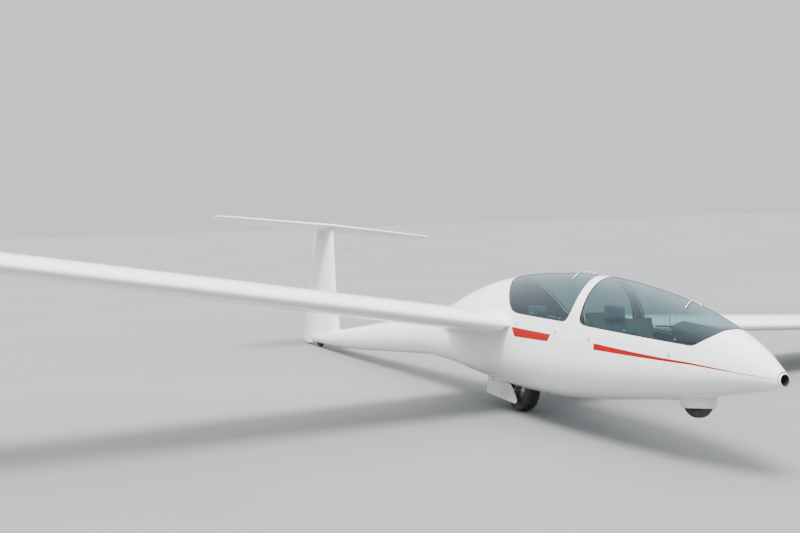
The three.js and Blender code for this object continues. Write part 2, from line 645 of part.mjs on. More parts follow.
// A leg is two plates with the axle and a cross tube, from the wheel up to the bay's roof.
function gearLeg(wheel, bay, { lean, clear, plate, foot, head }) {
  const { axle } = wheel;
  const inside = wheel.width / 2 + clear;
  const outside = inside + plate;
  const top = bay.top - GAP;
  const rear = wheel.station + lean;
  const plateOutline = [[wheel.station - foot, wheel.z - foot], [wheel.station + foot, wheel.z - foot],
    [rear + head, top], [rear - head, top]];
  const arms = [-1, 1].map((side) => slab(plateOutline, side * inside, side * outside));
  const spindle = crossBar(wheel, outside, axle);
  const cross = crossBar({ station: rear, z: top - axle - 6 }, outside, axle);
  return join([...arms, spindle, cross]);
}
const mainLeg = gearLeg(MAIN_TYRE, MAIN_BAY, { lean: 300, clear: 12, plate: 10, foot: 24, head: 40 });
const noseLeg = gearLeg(NOSE_TYRE, NOSE_BAY, { lean: 100, clear: 5, plate: 5, foot: 16, head: 30 });

// Nose wheel fairing: a skirt of rounded oblong section around the wheel, below the belly. It narrows downwards
// and its lower edge slants down to the rear.
const SKIRT = { length: 150, half: 66, wall: 4, top: -150, bend: -200, low: -240, slant: 0.07, roundness: 0.6 };
function skirt(margin) {
  const oblong = (value) => Math.sign(value) * Math.abs(value) ** SKIRT.roundness;
  const ring = (scale, z, slant) => Array.from({ length: SKIRT_SIDES }, (_, i) => {
    const angle = (2 * Math.PI * i) / SKIRT_SIDES;
    const along = (SKIRT.length * scale - margin) * oblong(Math.cos(angle));
    const across = (SKIRT.half * scale - margin) * oblong(Math.sin(angle));
    return [NOSE_TYRE.station + along, across, z - slant * along];
  });
  return loft([ring(1, SKIRT.top, 0), ring(0.98, SKIRT.bend, 0), ring(0.88, SKIRT.low, SKIRT.slant)]);
}
const skirtInside = skirt(SKIRT.wall);
const fairing = cut(skirt(0), skirtInside.translate([0, 0, -1]), skirtInside.translate([0, 0, 1]),
  hull(POD_STATIONS, -GAP));

// Main gear doors hang open beside the wheel.
const DOOR = [[3000, -150], [3352, -110], [3360, -323], [2890, -388], [2862, -382], [2850, -360], [2880, -307],
  [2911, -262], [2948, -228]];
const doorLimit = hull(POD_STATIONS, -GAP);
const gearDoor = (side) => slab(DOOR, side * 112, side * 119)
  .subtract(doorLimit);

// Cabin furniture spans the shell and is trimmed to it.
function sheetOutline(points, thick) {
  const lower = points.map(([station, z]) => [station, z - thick]);
  return [...points, ...lower.reverse()];
}
const SEATS = {
  front: [[960, -60], [1120, -128], [1210, -132], [1340, -138], [1430, -100], [1560, 110], [1668, 330]],
  rear: [[2010, -70], [2140, -126], [2240, -132], [2370, -138], [2470, -100], [2620, 130], [2740, 340]],
};
const bays = [MAIN_BAY, NOSE_BAY].map((bay) => bayHole(bay, BAY_WALL + GAP));
// Room for what stands in the cabin: out to the shell below the sill, and clear of the moving frames above it.
const clearLine = (station) => [station, sill(station) - RUN - 4];
const aboveSill = slab([clearLine(0), clearLine(4000), [4000, SKY], [0, SKY]], -WIDE, WIDE);
const cabinRoom = cabin.subtract(aboveSill).add(hull(cabinStations, FRAME + RUN + 1));
const sheet = (points) => cut(slab(sheetOutline(points, 8), -WIDE, WIDE).intersect(cabinRoom), ...bays);
const cushion = (seat, half) => {
  const [below, top] = seat.slice(-2);
  const points = [...seat.slice(2, -1), [0, 1].map((i) => below[i] + 0.7 * (top[i] - below[i]))];
  const lift = (thick) => points.map(([station, z]) => [station - thick * 0.35, z + thick]);
  const [low, high] = [lift(GAP * 2), lift(46)];
  return slab([...low, ...high.reverse()], -half, half).intersect(hull(cabinStations, SKIN + 30));
};

const body = (name, shape, material) => {
  const mesh = new THREE.Mesh(geometryOf(shape), material);
  mesh.name = name;
  return mesh;
};

// A headrest pad stands on two posts that rise from the top of its seat back.
function headrest(points, rise) {
  const [station, z] = points[points.length - 1];
  const pad = slab([[station - 30, z + rise], [station + 22, z + rise], [station + 44, z + rise + 130],
    [station - 8, z + rise + 130]], -105, 105);
  const posts = [-50, 50].map((y) => bar([station, y, z + GAP], [station + 10, y, z + rise + 10], 6, 8));
  return join([pad, ...posts]);
}

// Instrument panels: an upright plate on a pedestal, under a hood that runs forward from it.
// Hood sections: station, half width, and the heights of the sides' lower edge, of the shoulders and of the ridge.
const PANELS = {
  front: {
    station: 885, low: 60, half: 99, pedestal: [880, 945], foot: -123.4,
    hood: [[909, 105, 225, 335, 377], [640, 135, 215, 285, 338], [450, 95, 235, 262, 300]],
  },
  rear: {
    station: 1868, low: 180, half: 195, pedestal: [1835, 1882], foot: -135.1,
    hood: [[1900, 212, 396, 418, 432], [1820, 212, 398, 422, 436], [1732, 212, 352, 378, 392]],
  },
};
const HOOD_WALL = 7;
function instrumentPanel({ station, low, half, pedestal, foot, hood }) {
  const [, , , shoulder, ridge] = hood[0];
  const tuck = HOOD_WALL / 2;
  const face = loft([station, station + 12].map((place) => [[place, -half, low], [place, half, low],
    [place, half, shoulder - tuck], [place, 0, ridge - 2 * tuck], [place, -half, shoulder - tuck]]));
  const cowl = loft(hood.map(([place, wide, side, high, top]) => {
    const inner = wide - HOOD_WALL;
    return [[place, wide, side], [place, wide, high], [place, 0, top], [place, -wide, high], [place, -wide, side],
      [place, -inner, side], [place, -inner, high - HOOD_WALL], [place, 0, top - HOOD_WALL],
      [place, inner, high - HOOD_WALL], [place, inner, side]];
  }));
  const post = cut(box(...pedestal, -55, 55, foot, low + 20), ...bays);
  return join([face, cowl, post]).intersect(cabinRoom);
}

// Control stick: a bent tube with a grip, standing on a boot.
function stick(station, z, height) {
  const elbow = [station - 20, 0, z + height * 0.55];
  const grip = [station + 25, 0, z + height - 90];
  const boot = bar([station, 0, z + GAP], [station, 0, z + 30], 34, 16);
  const tube = [bar([station, 0, z + 20], elbow, 9, 10), bar(elbow, grip, 9, 10)];
  return join([boot, ...tube, bar(grip, [station + 38, 0, z + height], 16)]);
}

// Rudder pedals on one cross bar.
function pedals(station, z) {
  const plates = [-1, 1].map((side) => slab([[station, z], [station + 12, z], [station - 18, z + 170],
    [station - 30, z + 170]], side * 75, side * 145));
  return join([bar([station, -150, z + 10], [station, 150, z + 10], 9, 10), ...plates]);
}

function noseRing() {
  const profile = [[NOSE_HOLE, 2], [NOSE_HOLE + 3.5, 0], [NOSE_HOLE + 7, 0], [NOSE_RING - 1, 5],
    [NOSE_RING + 1, POD_FRONT - GAP], [NOSE_HOLE, POD_FRONT - GAP]];
  const points = [...profile, profile[0]].map(([radius, y]) => new THREE.Vector2(radius, y));
  const geometry = new THREE.LatheGeometry(points, 24);
  geometry.rotateZ(Math.PI / 2);
  return solid(geometry);
}

const level = new THREE.Group();
level.add(
  body('fuselage_pod', pod, GELCOAT),
  body('tail_boom', boom, GELCOAT),
  body('nose_ring', noseRing(), GELCOAT),
  body('fin', fin, GELCOAT),
  body('rudder', rudder, GELCOAT),
  body('tailplane', tailplane, GELCOAT),
  body('elevator', elevator, GELCOAT),
  body('energy_probe', probePiece(), ALLOY),
  body('canopy_front_frame', frontCanopy.frame, GELCOAT),
  body('canopy_front_glass', frontCanopy.glass, CLEAR),
  body('canopy_rear_frame', rearCanopy.frame, GELCOAT),
  body('canopy_rear_glass', rearCanopy.glass, CLEAR),
  body('wing_left', cut(port.wing, portBrake.slot).add(portBrake.guide), GELCOAT),
  body('wing_right', cut(starboard.wing, starboardBrake.slot).add(starboardBrake.guide), GELCOAT),
  body('wing_tip_left', port.tip, GELCOAT),
  body('wing_tip_right', starboard.tip, GELCOAT),
  body('aileron_left', port.surface, GELCOAT),
  body('aileron_right', starboard.surface, GELCOAT),
  body('airbrake_left', portBrake.blade, GELCOAT),
  body('airbrake_right', starboardBrake.blade, GELCOAT),
  body('tip_skid_left', tipSkid(1), RUBBER),
  body('tip_skid_right', tipSkid(-1), RUBBER),
  body('main_wheel_bay', bayBox(MAIN_BAY), GREY_LINER),
  body('nose_wheel_bay', bayBox(NOSE_BAY), GREY_LINER),
  body('main_leg', mainLeg, STEEL),
  body('main_tyre', mainWheel.tyre, RUBBER),
  body('main_rim', mainWheel.rim, ALLOY),
  body('nose_leg', noseLeg, STEEL),
  body('nose_tyre', noseWheel.tyre, RUBBER),
  body('nose_rim', noseWheel.rim, ALLOY),
  body('nose_wheel_fairing', fairing, GELCOAT),
  body('tail_tyre', tailWheel.tyre, RUBBER),
  body('tail_rim', tailWheel.rim, ALLOY),
  body('gear_door_left', gearDoor(1), GELCOAT),
  body('gear_door_right', gearDoor(-1), GELCOAT),
  body('floor_front', sheet([[330, -74], [955, -128]]), GREY_LINER),
  body('floor_rear', sheet([[1640, -150], [2005, -128]]), GREY_LINER),
  body('seat_front', sheet(SEATS.front), GREY_LINER),
  body('seat_rear', sheet(SEATS.rear), GREY_LINER),
  body('cushion_front', cushion(SEATS.front, 190), CLOTH),
  body('cushion_rear', cushion(SEATS.rear, 190), CLOTH),
  body('headrest_front', headrest(SEATS.front, 30), CLOTH),
  body('headrest_rear', headrest(SEATS.rear, 30), CLOTH),
  body('panel_front', instrumentPanel(PANELS.front), DARK_PANEL),
  body('panel_rear', instrumentPanel(PANELS.rear), DARK_PANEL),
  body('stick_front', stick(1160, -128, 400), DARK_PANEL),
  body('stick_rear', stick(2190, -126.5, 400), DARK_PANEL),
  body('pedals_front', pedals(548, -92.4), STEEL),
  body('pedals_rear', pedals(1700, -145.3), STEEL),
);

// Turning pieces: where each one's axis runs in the aircraft's own axes, as two points on it.
const asPoint = ([station, y, z]) => new THREE.Vector3(-station, y, z);
const axle = ({ station, z }) => [[station, 0, z], [station, 100, z]];
const canopyAxis = (stations) => stations.map((station) => hingeLine(stations)(station));
const axes = {
  main_wheel: axle(MAIN_TYRE),
  nose_wheel: axle(NOSE_TYRE),
  tail_wheel: axle(TAIL_TYRE),
  rudder: [[...hingePoint(100)], [...hingePoint(1500)]],
  elevator: [[spine.station, 0, spine.z], [spine.station, 100, spine.z]],
  aileron_left: port.line,
  aileron_right: starboard.line,
  canopy_front: canopyAxis(HINGES.front),
  canopy_rear: canopyAxis(HINGES.rear),
};
level.userData.axes = Object.fromEntries(Object.entries(axes).map(([name, ends]) => [name, ends.map(asPoint)]));

// Tips the level aircraft until main tyre, tail tyre and port tip skid all touch one flat ground.
function park(group) {
  const feet = ['main_tyre', 'tail_tyre', 'tip_skid_left'].map((name) => group.getObjectByName(name));
  const lowest = (foot) => new THREE.Box3().setFromObject(foot, true).min.z;
  for (let round = 0; round < 40; round += 1) {
    group.updateMatrixWorld(true);
    const [main, tail, tip] = feet.map(lowest);
    group.rotation.y += (tail - main) / (MAIN_TYRE.station - TAIL_TYRE.station);
    group.rotation.x += (main - tip) / HALF_SPAN;
  }
  group.updateMatrixWorld(true);
  const bounds = new THREE.Box3().setFromObject(group, true);
  const middle = bounds.getCenter(new THREE.Vector3());
  group.position.set(-middle.x, -middle.y, -bounds.min.z);
}
park(level);

const aircraft = new THREE.Group();
aircraft.add(level);

export default aircraft;
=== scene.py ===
import json
import math

import bmesh
import bpy
import numpy as np
from mathutils import Matrix, Vector


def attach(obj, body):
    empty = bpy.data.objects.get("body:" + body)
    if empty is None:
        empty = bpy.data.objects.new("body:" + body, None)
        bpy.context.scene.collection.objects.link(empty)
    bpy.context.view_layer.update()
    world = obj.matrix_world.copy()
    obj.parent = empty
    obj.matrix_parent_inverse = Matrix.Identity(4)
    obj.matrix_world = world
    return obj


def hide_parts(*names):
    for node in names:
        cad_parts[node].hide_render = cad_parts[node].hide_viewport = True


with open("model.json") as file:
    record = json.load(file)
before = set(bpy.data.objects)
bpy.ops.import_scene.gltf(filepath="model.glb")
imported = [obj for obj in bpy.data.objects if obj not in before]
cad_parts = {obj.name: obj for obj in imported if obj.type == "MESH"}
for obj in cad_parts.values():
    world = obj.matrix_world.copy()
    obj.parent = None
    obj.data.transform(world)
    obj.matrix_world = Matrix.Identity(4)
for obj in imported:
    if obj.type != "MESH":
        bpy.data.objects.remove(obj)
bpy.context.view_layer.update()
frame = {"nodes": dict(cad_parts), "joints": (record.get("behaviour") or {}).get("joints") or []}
MM = 0.001

# Driving dimensions
SKIN, FRAME_DEPTH, GLASS_DEPTH = 10.0, 18.0, 4.0
POD_FRONT, POD_REAR, BOOM_REAR, CABIN_REAR = 14.0, 3600.0, 8245.0, 3440.0
MAIN_TYRE = dict(station=2925, z=-266, radius=190, width=140, rim=92, sides=32)
NOSE_TYRE = dict(station=748, z=-179, radius=130, width=82, rim=58, sides=24)
TAIL_TYRE = dict(station=7975, z=72, radius=100, width=48, rim=42, sides=24)
MAIN_BAY = dict(front=2690, rear=3400, half=115, top=-62)
NOSE_BAY = dict(front=596, rear=900, half=55, top=-38)
TAIL_SLOT = dict(front=7863, rear=8087, half=32, top=175)
HALF_SPAN, TIP_JOINT, ROOT_RIB = 10000.0, 8600.0, 400.0

# Fuselage sections: station, keel, crown, half width, height of the widest line, roundness above and below it.
BODY = np.array([
    [0, -44, 44, 44, 0, 2.0, 2.0], [60, -64, 94, 80, 10, 2.0, 2.0], [200, -92, 208, 150, 28, 2.05, 2.05],
    [450, -132, 350, 226, 46, 2.1, 2.2], [800, -182, 498, 295, 60, 2.1, 2.3],
    [1200, -218, 618, 340, 80, 2.1, 2.35], [1700, -255, 722, 365, 100, 2.1, 2.35],
    [2200, -272, 775, 365, 115, 2.1, 2.3], [2700, -254, 787, 350, 135, 2.1, 2.25],
    [3200, -200, 758, 315, 155, 2.1, 2.15], [3700, -133, 675, 262, 175, 2.05, 2.1],
    [4200, -56, 535, 210, 190, 2.0, 2.05], [4800, -12, 425, 180, 185, 2, 2],
    [5600, -15, 350, 160, 165, 2, 2], [6500, -20, 280, 133, 130, 2, 2], [7330, -8, 216, 105, 105, 2, 2],
    [8100, 28, 182, 70, 100, 2, 2], [8260, 34, 172, 42, 100, 2, 2]], float)


# Wing and tailplane. Rows: place along the span, leading edge, chord, height, incidence in degrees, thickness.
# The hinge is a share of the chord, and the gap is the running clearance of the control surface.
WING = dict(camber=0.045, hinge=0.8, gap=3.0, rows=np.array([
    [150, 2670, 1130, 294, 2.0, 0.17], [386, 2674, 1120, 307, 2.0, 0.17], [2900, 2726, 1026, 447, 1.8, 0.168],
    [5500, 2780, 930, 592, 1.5, 0.165], [8600, 2945, 640, 764, 0.8, 0.155], [9600, 3040, 470, 820, 0.5, 0.15],
    [10000, 3150, 300, 842, 0.5, 0.14]]))
TAIL = dict(camber=0.0, hinge=0.7, gap=5.0, rows=np.array([
    [0, 7700, 630, 1652, 3.0, 0.12], [1250, 7812, 456, 1646, 3.0, 0.115], [1540, 7845, 395, 1645, 3.0, 0.11],
    [1600, 7900, 300, 1645, 3.0, 0.09]]))
# Fin: height, leading edge, chord, thickness. The rudder's lines are (station, height).
FIN = np.array([
    [60, 7270, 1350, 0.105], [217, 7327, 1290, 0.11], [753, 7523, 1000, 0.12], [1587, 7733, 690, 0.125],
    [1618, 7740, 680, 0.125]])
AILERON = dict(start=5400.0, end=8450.0)
ELEVATOR = dict(start=95.0, end=1530.0)
AIRBRAKE = dict(start=2700.0, end=4100.0, share=0.47, width=26.0, depth=115.0)
TAIL_TIP, FIN_TOP, FIN_GAP, RUDDER_TOP = 1588.0, 1612.0, 3.0, 1590.0
RUDDER_LINE = ((8250, 30), (8236, 1606))
RUDDER_TAIL = np.array([(8631, 71), (8520, 817), (8410, 1642)], float)
RUDDER_HEEL = np.array([(8100, 34), (8429, 25), (8631, 71), (8900, 133)], float)

# Canopy outlines in side view. The sill is one straight line, and each glass outline is the outside of its seal.
SKY, SILL_HEIGHT, SILL_SLOPE = 1100, 60.0, 0.107
FRONT_PANEL = [(334, SKY), (334, 290), (352, 252), (384, 216), (430, 188), (472, 163), (504, 141), (545, 127),
               (610, 125.3), (1728, 244.9), (1728, SKY)]
FRONT_GLASS = [(380, SKY), (380, 316), (402, 309), (418, 299), (444, 271), (504, 232), (556, 197), (584, 191),
               (620, 196), (1600, 311), (1662, 328), (1692, 356), (1698, 392), (1698, SKY)]
REAR_PANEL = [(1760, SKY), (1764, 600), (1784, 450), (1822, 320), (1850, 258), (2660, 344.6), (2740, 375),
              (2800, 445), (2860, 545), (2930, 635), (3000, 710), (3036, 745), (3040, SKY)]
REAR_GLASS = [(1808, SKY), (1806, 700), (1796, 640), (1800, 550), (1812, 468), (1832, 392), (1858, 354),
              (1892, 343), (2548, 408), (2632, 420), (2700, 452), (2756, 501), (2804, 559), (2868, 635),
              (2916, 697), (2974, 750), (2988, SKY)]
SIDES = ((1, "left"), (-1, "right"))


# The level aircraft's axes in the shared frame, from the main wheel's axle and the airbrakes' way of sliding
def parked_axes():
    joints = {joint["name"]: joint for joint in frame["joints"]}
    port = np.array(joints["main_wheel_spin"]["axis"])
    up = np.array(joints["airbrake_left_slide"]["axis"])
    turn = np.column_stack([np.cross(port, up), port, up])
    turn /= np.linalg.norm(turn, axis=0)
    wheel = np.array([-MAIN_TYRE["station"], 0, MAIN_TYRE["z"]]) * MM
    return turn, np.array(joints["main_wheel_spin"]["pos_m"]) - turn @ wheel


TURN, ORIGIN = parked_axes()


def to_row(points):
    """Points in level axes, as (station, y, z) in millimetres, to the shared frame in metres."""
    points = np.asarray(points, float)
    level = np.stack([-points[..., 0], points[..., 1], points[..., 2]], -1) * MM
    return level @ TURN.T + ORIGIN


def turned(directions):
    """Directions in level axes, as (aft, port, up), to the shared frame."""
    directions = np.asarray(directions, float)
    flipped = np.stack([-directions[..., 0], directions[..., 1], directions[..., 2]], -1)
    return flipped @ TURN.T


# Camera, from a fit of the photographed outline: place and axes in level axes, and the focal length in pixels
CAMERA = dict(place=(-4234.0, -4841.0, 172.2), yaw=2.6833, pitch=0.0741, roll=0.0449, focal=933.42)
PICTURE_WIDTH, SENSOR = 800, 36.0
CLIP_END = 500


def add_camera():
    yaw, pitch, roll = CAMERA["yaw"], CAMERA["pitch"], CAMERA["roll"]
    ahead = np.array([math.cos(pitch) * math.cos(yaw), math.cos(pitch) * math.sin(yaw), math.sin(pitch)])
    flat_right = np.array([math.sin(yaw), -math.cos(yaw), 0.0])
    flat_up = np.cross(flat_right, ahead)
    right = math.cos(roll) * flat_right + math.sin(roll) * flat_up
    up = -math.sin(roll) * flat_right + math.cos(roll) * flat_up
    camera = bpy.data.objects.new("camera", bpy.data.cameras.new("camera"))
    bpy.context.scene.collection.objects.link(camera)
    axes = Matrix((TURN @ np.column_stack([right, up, -ahead])).tolist()).to_4x4()
    camera.matrix_world = Matrix.Translation(Vector(to_row(CAMERA["place"]))) @ axes
    camera.data.sensor_width = SENSOR
    camera.data.lens = CAMERA["focal"] / PICTURE_WIDTH * SENSOR
    camera.data.clip_end = CLIP_END
    bpy.context.scene.camera = camera


add_camera()


# Materials
def new_material(name):
    made = bpy.data.materials.new(name)
    made.use_nodes = True
    return made, made.node_tree, made.node_tree.nodes["Principled BSDF"]


def feed(tree, node, inputs):
    """Gives a node's sockets, by name or number, a value or another node's output."""
    for key, value in inputs.items():
        if isinstance(value, bpy.types.NodeSocket):
            tree.links.new(value, node.inputs[key])
        else:
            node.inputs[key].default_value = value
    return node


def add_node(tree, kind, inputs, **settings):
    node = tree.nodes.new("ShaderNode" + kind)
    for key, value in settings.items():
        setattr(node, key, value)
    return feed(tree, node, inputs)


def object_place(tree):
    return add_node(tree, "TexCoord", {}).outputs["Object"]


def coordinates(tree, scale=(1, 1, 1)):
    return add_node(tree, "Mapping", {"Scale": scale, "Vector": object_place(tree)}).outputs["Vector"]


def noise(tree, scale, stretch=(1, 1, 1), detail=3.0, roughness=0.55):
    return add_node(tree, "TexNoise", {"Scale": scale, "Detail": detail, "Roughness": roughness,
                                       "Vector": coordinates(tree, stretch)}).outputs["Fac"]


def remap(tree, source, low, high, to_low, to_high):
    return add_node(tree, "MapRange", {"Value": source, "From Min": low, "From Max": high, "To Min": to_low,
                                       "To Max": to_high}).outputs["Result"]


def maths(tree, operation, first, second):
    return add_node(tree, "Math", {0: first, 1: second}, operation=operation).outputs[0]


def vector_maths(tree, operation, *inputs):
    return add_node(tree, "VectorMath", dict(enumerate(inputs)), operation=operation).outputs


def blend(tree, factor, first, second):
    """Mixes two colours, each given as a tuple or as a socket."""
    first, second = ((*colour, 1) if isinstance(colour, tuple) else colour for colour in (first, second))
    return add_node(tree, "Mix", {0: factor, 6: first, 7: second}, data_type="RGBA").outputs[2]


def gloss(tree, scale, low, high):
    """Roughness that wanders between two values."""
    return remap(tree, noise(tree, scale), 0.3, 0.7, low, high)


def relief(tree, height, strength, distance):
    bump = add_node(tree, "Bump", {"Height": height, "Strength": strength, "Distance": distance})
    return bump.outputs["Normal"]


def plain_finish(name, base, stain, roughness, grain=40.0, metallic=0.0, coat=0.0, bump=0.2, gleam=0.5):
    """A finish with cloudy stains, varied gloss and fine grain."""
    made, tree, shader = new_material(name)
    cloud = remap(tree, noise(tree, grain * 0.12), 0.42, 0.7, 0.0, 1.0)
    feed(tree, shader, {"Base Color": blend(tree, cloud, base, stain), "Metallic": metallic,
                        "Roughness": gloss(tree, grain * 0.4, max(roughness - 0.12, 0.02), roughness + 0.12),
                        "Specular IOR Level": gleam, "Coat Weight": coat, "Coat Roughness": 0.06})
    if bump:
        feed(tree, shader, {"Normal": relief(tree, noise(tree, grain * 6), bump, 0.0004)})
    return made


def gelcoat_finish():
    """Polished white gelcoat: faint streaks along the airflow, small specks, slight waviness in the gloss."""
    made, tree, shader = new_material("gelcoat")
    streaks = remap(tree, noise(tree, 5.0, (0.35, 3.0, 3.0), 5.0), 0.5, 0.85, 0.0, 0.55)
    specks = remap(tree, noise(tree, 260.0, detail=1.0), 0.72, 0.82, 0.0, 0.35)
    dirty = blend(tree, streaks, (0.85, 0.852, 0.84), (0.76, 0.755, 0.725))
    feed(tree, shader, {"Base Color": blend(tree, specks, dirty, (0.45, 0.43, 0.38)),
                        "Roughness": gloss(tree, 8.0, 0.13, 0.24), "Coat Weight": 0.35, "Coat Roughness": 0.05,
                        "Normal": relief(tree, noise(tree, 3.5, detail=1.0), 0.08, 0.004)})
    return made


def glass_finish():
    """Tinted acrylic: passes tinted light straight through and mirrors more at glancing angles. The tint is
    partly the acrylic's own and partly painted shade, deepened for the dark cabin and surroundings seen through
    it.
    """
    made, tree, shader = new_material("canopy_tint_and_shade")
    feed(tree, shader, {"Base Color": (0.86, 0.93, 0.96, 1), "Metallic": 1.0,
                        "Roughness": gloss(tree, 6.0, 0.015, 0.04),
                        "Normal": relief(tree, noise(tree, 2.6, (0.5, 1.4, 1.4)), 0.3, 0.012)})
    # The pass-through tint is partly the acrylic's colour and partly painted shade.
    clear = add_node(tree, "BsdfTransparent", {"Color": (0.57, 0.675, 0.69, 1)})
    facing = add_node(tree, "LayerWeight", {"Blend": 0.5}).outputs["Facing"]
    share = remap(tree, maths(tree, "POWER", facing, 3.6), 0.0, 1.0, 0.03, 1.0)
    mix = add_node(tree, "MixShader", {0: share, 1: clear.outputs[0], 2: shader.outputs[0]})
    feed(tree, tree.nodes["Material Output"], {"Surface": mix.outputs[0]})
    return made


def cloth_finish(name, base, thread, size=700.0):
    """Woven upholstery: crossed threads by two waves, fuzz and faded patches."""
    made, tree, shader = new_material(name)
    waves = [add_node(tree, "TexWave", {"Scale": size, "Distortion": 0.6, "Detail": 1.0,
                                        "Vector": coordinates(tree)}, bands_direction=direction).outputs["Fac"]
             for direction in "XY"]
    crossed = maths(tree, "MULTIPLY", *waves)
    faded = remap(tree, noise(tree, 9.0), 0.45, 0.75, 0.0, 0.5)
    worn = tuple(min(1.0, 1.5 * value + 0.02) for value in thread)
    feed(tree, shader, {"Base Color": blend(tree, faded, blend(tree, crossed, base, thread), worn),
                        "Roughness": gloss(tree, 60.0, 0.82, 0.98), "Sheen Weight": 0.25,
                        "Normal": relief(tree, crossed, 0.35, 0.0006)})
    return made


def liner_finish():
    """Grey cabin paint with dark flecks. Its grey is partly the paint's own and partly painted shade of the
    cabin's and the frames' insides, kept darker than the paint.
    """
    made, tree, shader = new_material("flecked_liner_painted_shade")
    cells = add_node(tree, "TexVoronoi", {"Scale": 420.0, "Vector": coordinates(tree)})
    flecks = remap(tree, cells.outputs["Distance"], 0.12, 0.2, 1.0, 0.0)
    grey = blend(tree, noise(tree, 5.0), (0.1, 0.106, 0.112), (0.135, 0.138, 0.144))
    feed(tree, shader, {"Base Color": blend(tree, flecks, grey, (0.075, 0.078, 0.083)),
                        "Roughness": gloss(tree, 30.0, 0.5, 0.75),
                        "Normal": relief(tree, noise(tree, 300.0), 0.3, 0.0005)})
    return made


def door_finish():
    """Gelcoat of the open gear doors, with dark streaks of dirt that fan out from beside the tyre."""
    made, tree, shader = new_material("scuffed_gelcoat")
    away = vector_maths(tree, "SUBTRACT", object_place(tree), to_row([2985, 0, -205]).tolist())[0]
    split = add_node(tree, "SeparateXYZ", {0: away}).outputs
    turn = maths(tree, "ARCTAN2", split["Z"], split["X"])
    rays = add_node(tree, "TexNoise", {"Scale": 5.5, "Detail": 6.0, "Roughness": 0.75, "W": turn},
                    noise_dimensions="1D").outputs["Fac"]
    far = vector_maths(tree, "LENGTH", vector_maths(tree, "MULTIPLY", away, (1, 0, 1))[0])["Value"]
    near = maths(tree, "POWER", remap(tree, far, 0.05, 0.2, 1.0, 0.0), 0.6)
    fan = maths(tree, "MULTIPLY", near, remap(tree, rays, 0.5, 0.58, 0.0, 0.9))
    grey = blend(tree, noise(tree, 4.0), (0.7, 0.7, 0.68), (0.58, 0.58, 0.55))
    scuffs = remap(tree, noise(tree, 14.0, (1.0, 1.0, 0.45), 8.0, 0.72), 0.6, 0.72, 0.0, 0.5)
    dusty = blend(tree, scuffs, grey, (0.3, 0.29, 0.26))
    feed(tree, shader, {"Base Color": blend(tree, fan, dusty, (0.07, 0.068, 0.06)),
                        "Roughness": gloss(tree, 30.0, 0.25, 0.5),
                        "Normal": relief(tree, noise(tree, 60.0), 0.15, 0.0005)})
    return made


def fairing_finish(edge_height):
    """Gelcoat with brown mud along its lower edge, at a height in the shared frame."""
    made, tree, shader = new_material("muddy_gelcoat")
    height = add_node(tree, "SeparateXYZ", {0: object_place(tree)}).outputs["Z"]
    near = remap(tree, height, edge_height - 0.004, edge_height + 0.035, 1.0, 0.0)
    mud = maths(tree, "MULTIPLY", near, remap(tree, noise(tree, 16.0, detail=5.0), 0.42, 0.6, 0.0, 0.9))
    white = blend(tree, noise(tree, 5.0), (0.76, 0.76, 0.74), (0.66, 0.66, 0.62))
    feed(tree, shader, {"Base Color": blend(tree, mud, white, (0.3, 0.17, 0.08)),
                        "Roughness": gloss(tree, 22.0, 0.2, 0.5),
                        "Normal": relief(tree, noise(tree, 90.0), 0.15, 0.0005)})
    return made


GELCOAT = gelcoat_finish()
TINT_AND_SHADE = glass_finish()
# LINER's dark grey is partly cabin paint and partly painted shade.
LINER = liner_finish()
DOOR = door_finish()
SEAL = plain_finish("black_seal", (0.012, 0.012, 0.013), (0.03, 0.03, 0.03), 0.5, bump=0.1)
RED = plain_finish("red_stripe", (0.32, 0.0015, 0.0), (0.28, 0.002, 0.0), 0.45, bump=0.0, gleam=0.2)
FADED_RED = plain_finish("faded_red", (0.34, 0.05, 0.06), (0.5, 0.22, 0.24), 0.4, grain=90, bump=0.0)
TYRE = plain_finish("tyre_rubber", (0.018, 0.018, 0.019), (0.075, 0.07, 0.06), 0.75, grain=60, bump=0.5)
RUBBER = plain_finish("soft_rubber", (0.02, 0.02, 0.021), (0.05, 0.05, 0.048), 0.65, bump=0.3)
ALLOY = plain_finish("cast_alloy", (0.6, 0.61, 0.62), (0.42, 0.42, 0.42), 0.38, metallic=0.9, bump=0.25)
STEEL = plain_finish("grey_steel", (0.33, 0.34, 0.35), (0.2, 0.19, 0.18), 0.42, metallic=0.8, bump=0.25)
BLACK = plain_finish("panel_black", (0.022, 0.023, 0.025), (0.04, 0.04, 0.042), 0.55, bump=0.35)
HOOD = plain_finish("hood_grey", (0.075, 0.08, 0.085), (0.1, 0.105, 0.11), 0.7, bump=0.15)
WHITE_MARK = plain_finish("dial_white", (0.75, 0.75, 0.72), (0.6, 0.6, 0.58), 0.5, bump=0.0)
KNOB_RED = plain_finish("knob_red", (0.6, 0.03, 0.02), (0.4, 0.03, 0.02), 0.35, bump=0.0)
KNOB_BLUE = plain_finish("knob_blue", (0.03, 0.09, 0.35), (0.03, 0.06, 0.22), 0.35, bump=0.0)
BAY_PAINT = plain_finish("bay_paint", (0.5, 0.51, 0.5), (0.2, 0.18, 0.15), 0.6, grain=50, bump=0.3)
CLOTH = cloth_finish("seat_cloth", (0.035, 0.04, 0.055), (0.11, 0.12, 0.15))
WEBBING = cloth_finish("harness_webbing", (0.02, 0.035, 0.12), (0.06, 0.09, 0.22), 1100.0)
DIAL_FACE = plain_finish("dial_face", (0.012, 0.013, 0.014), (0.02, 0.02, 0.022), 0.15, coat=0.6, bump=0.0)


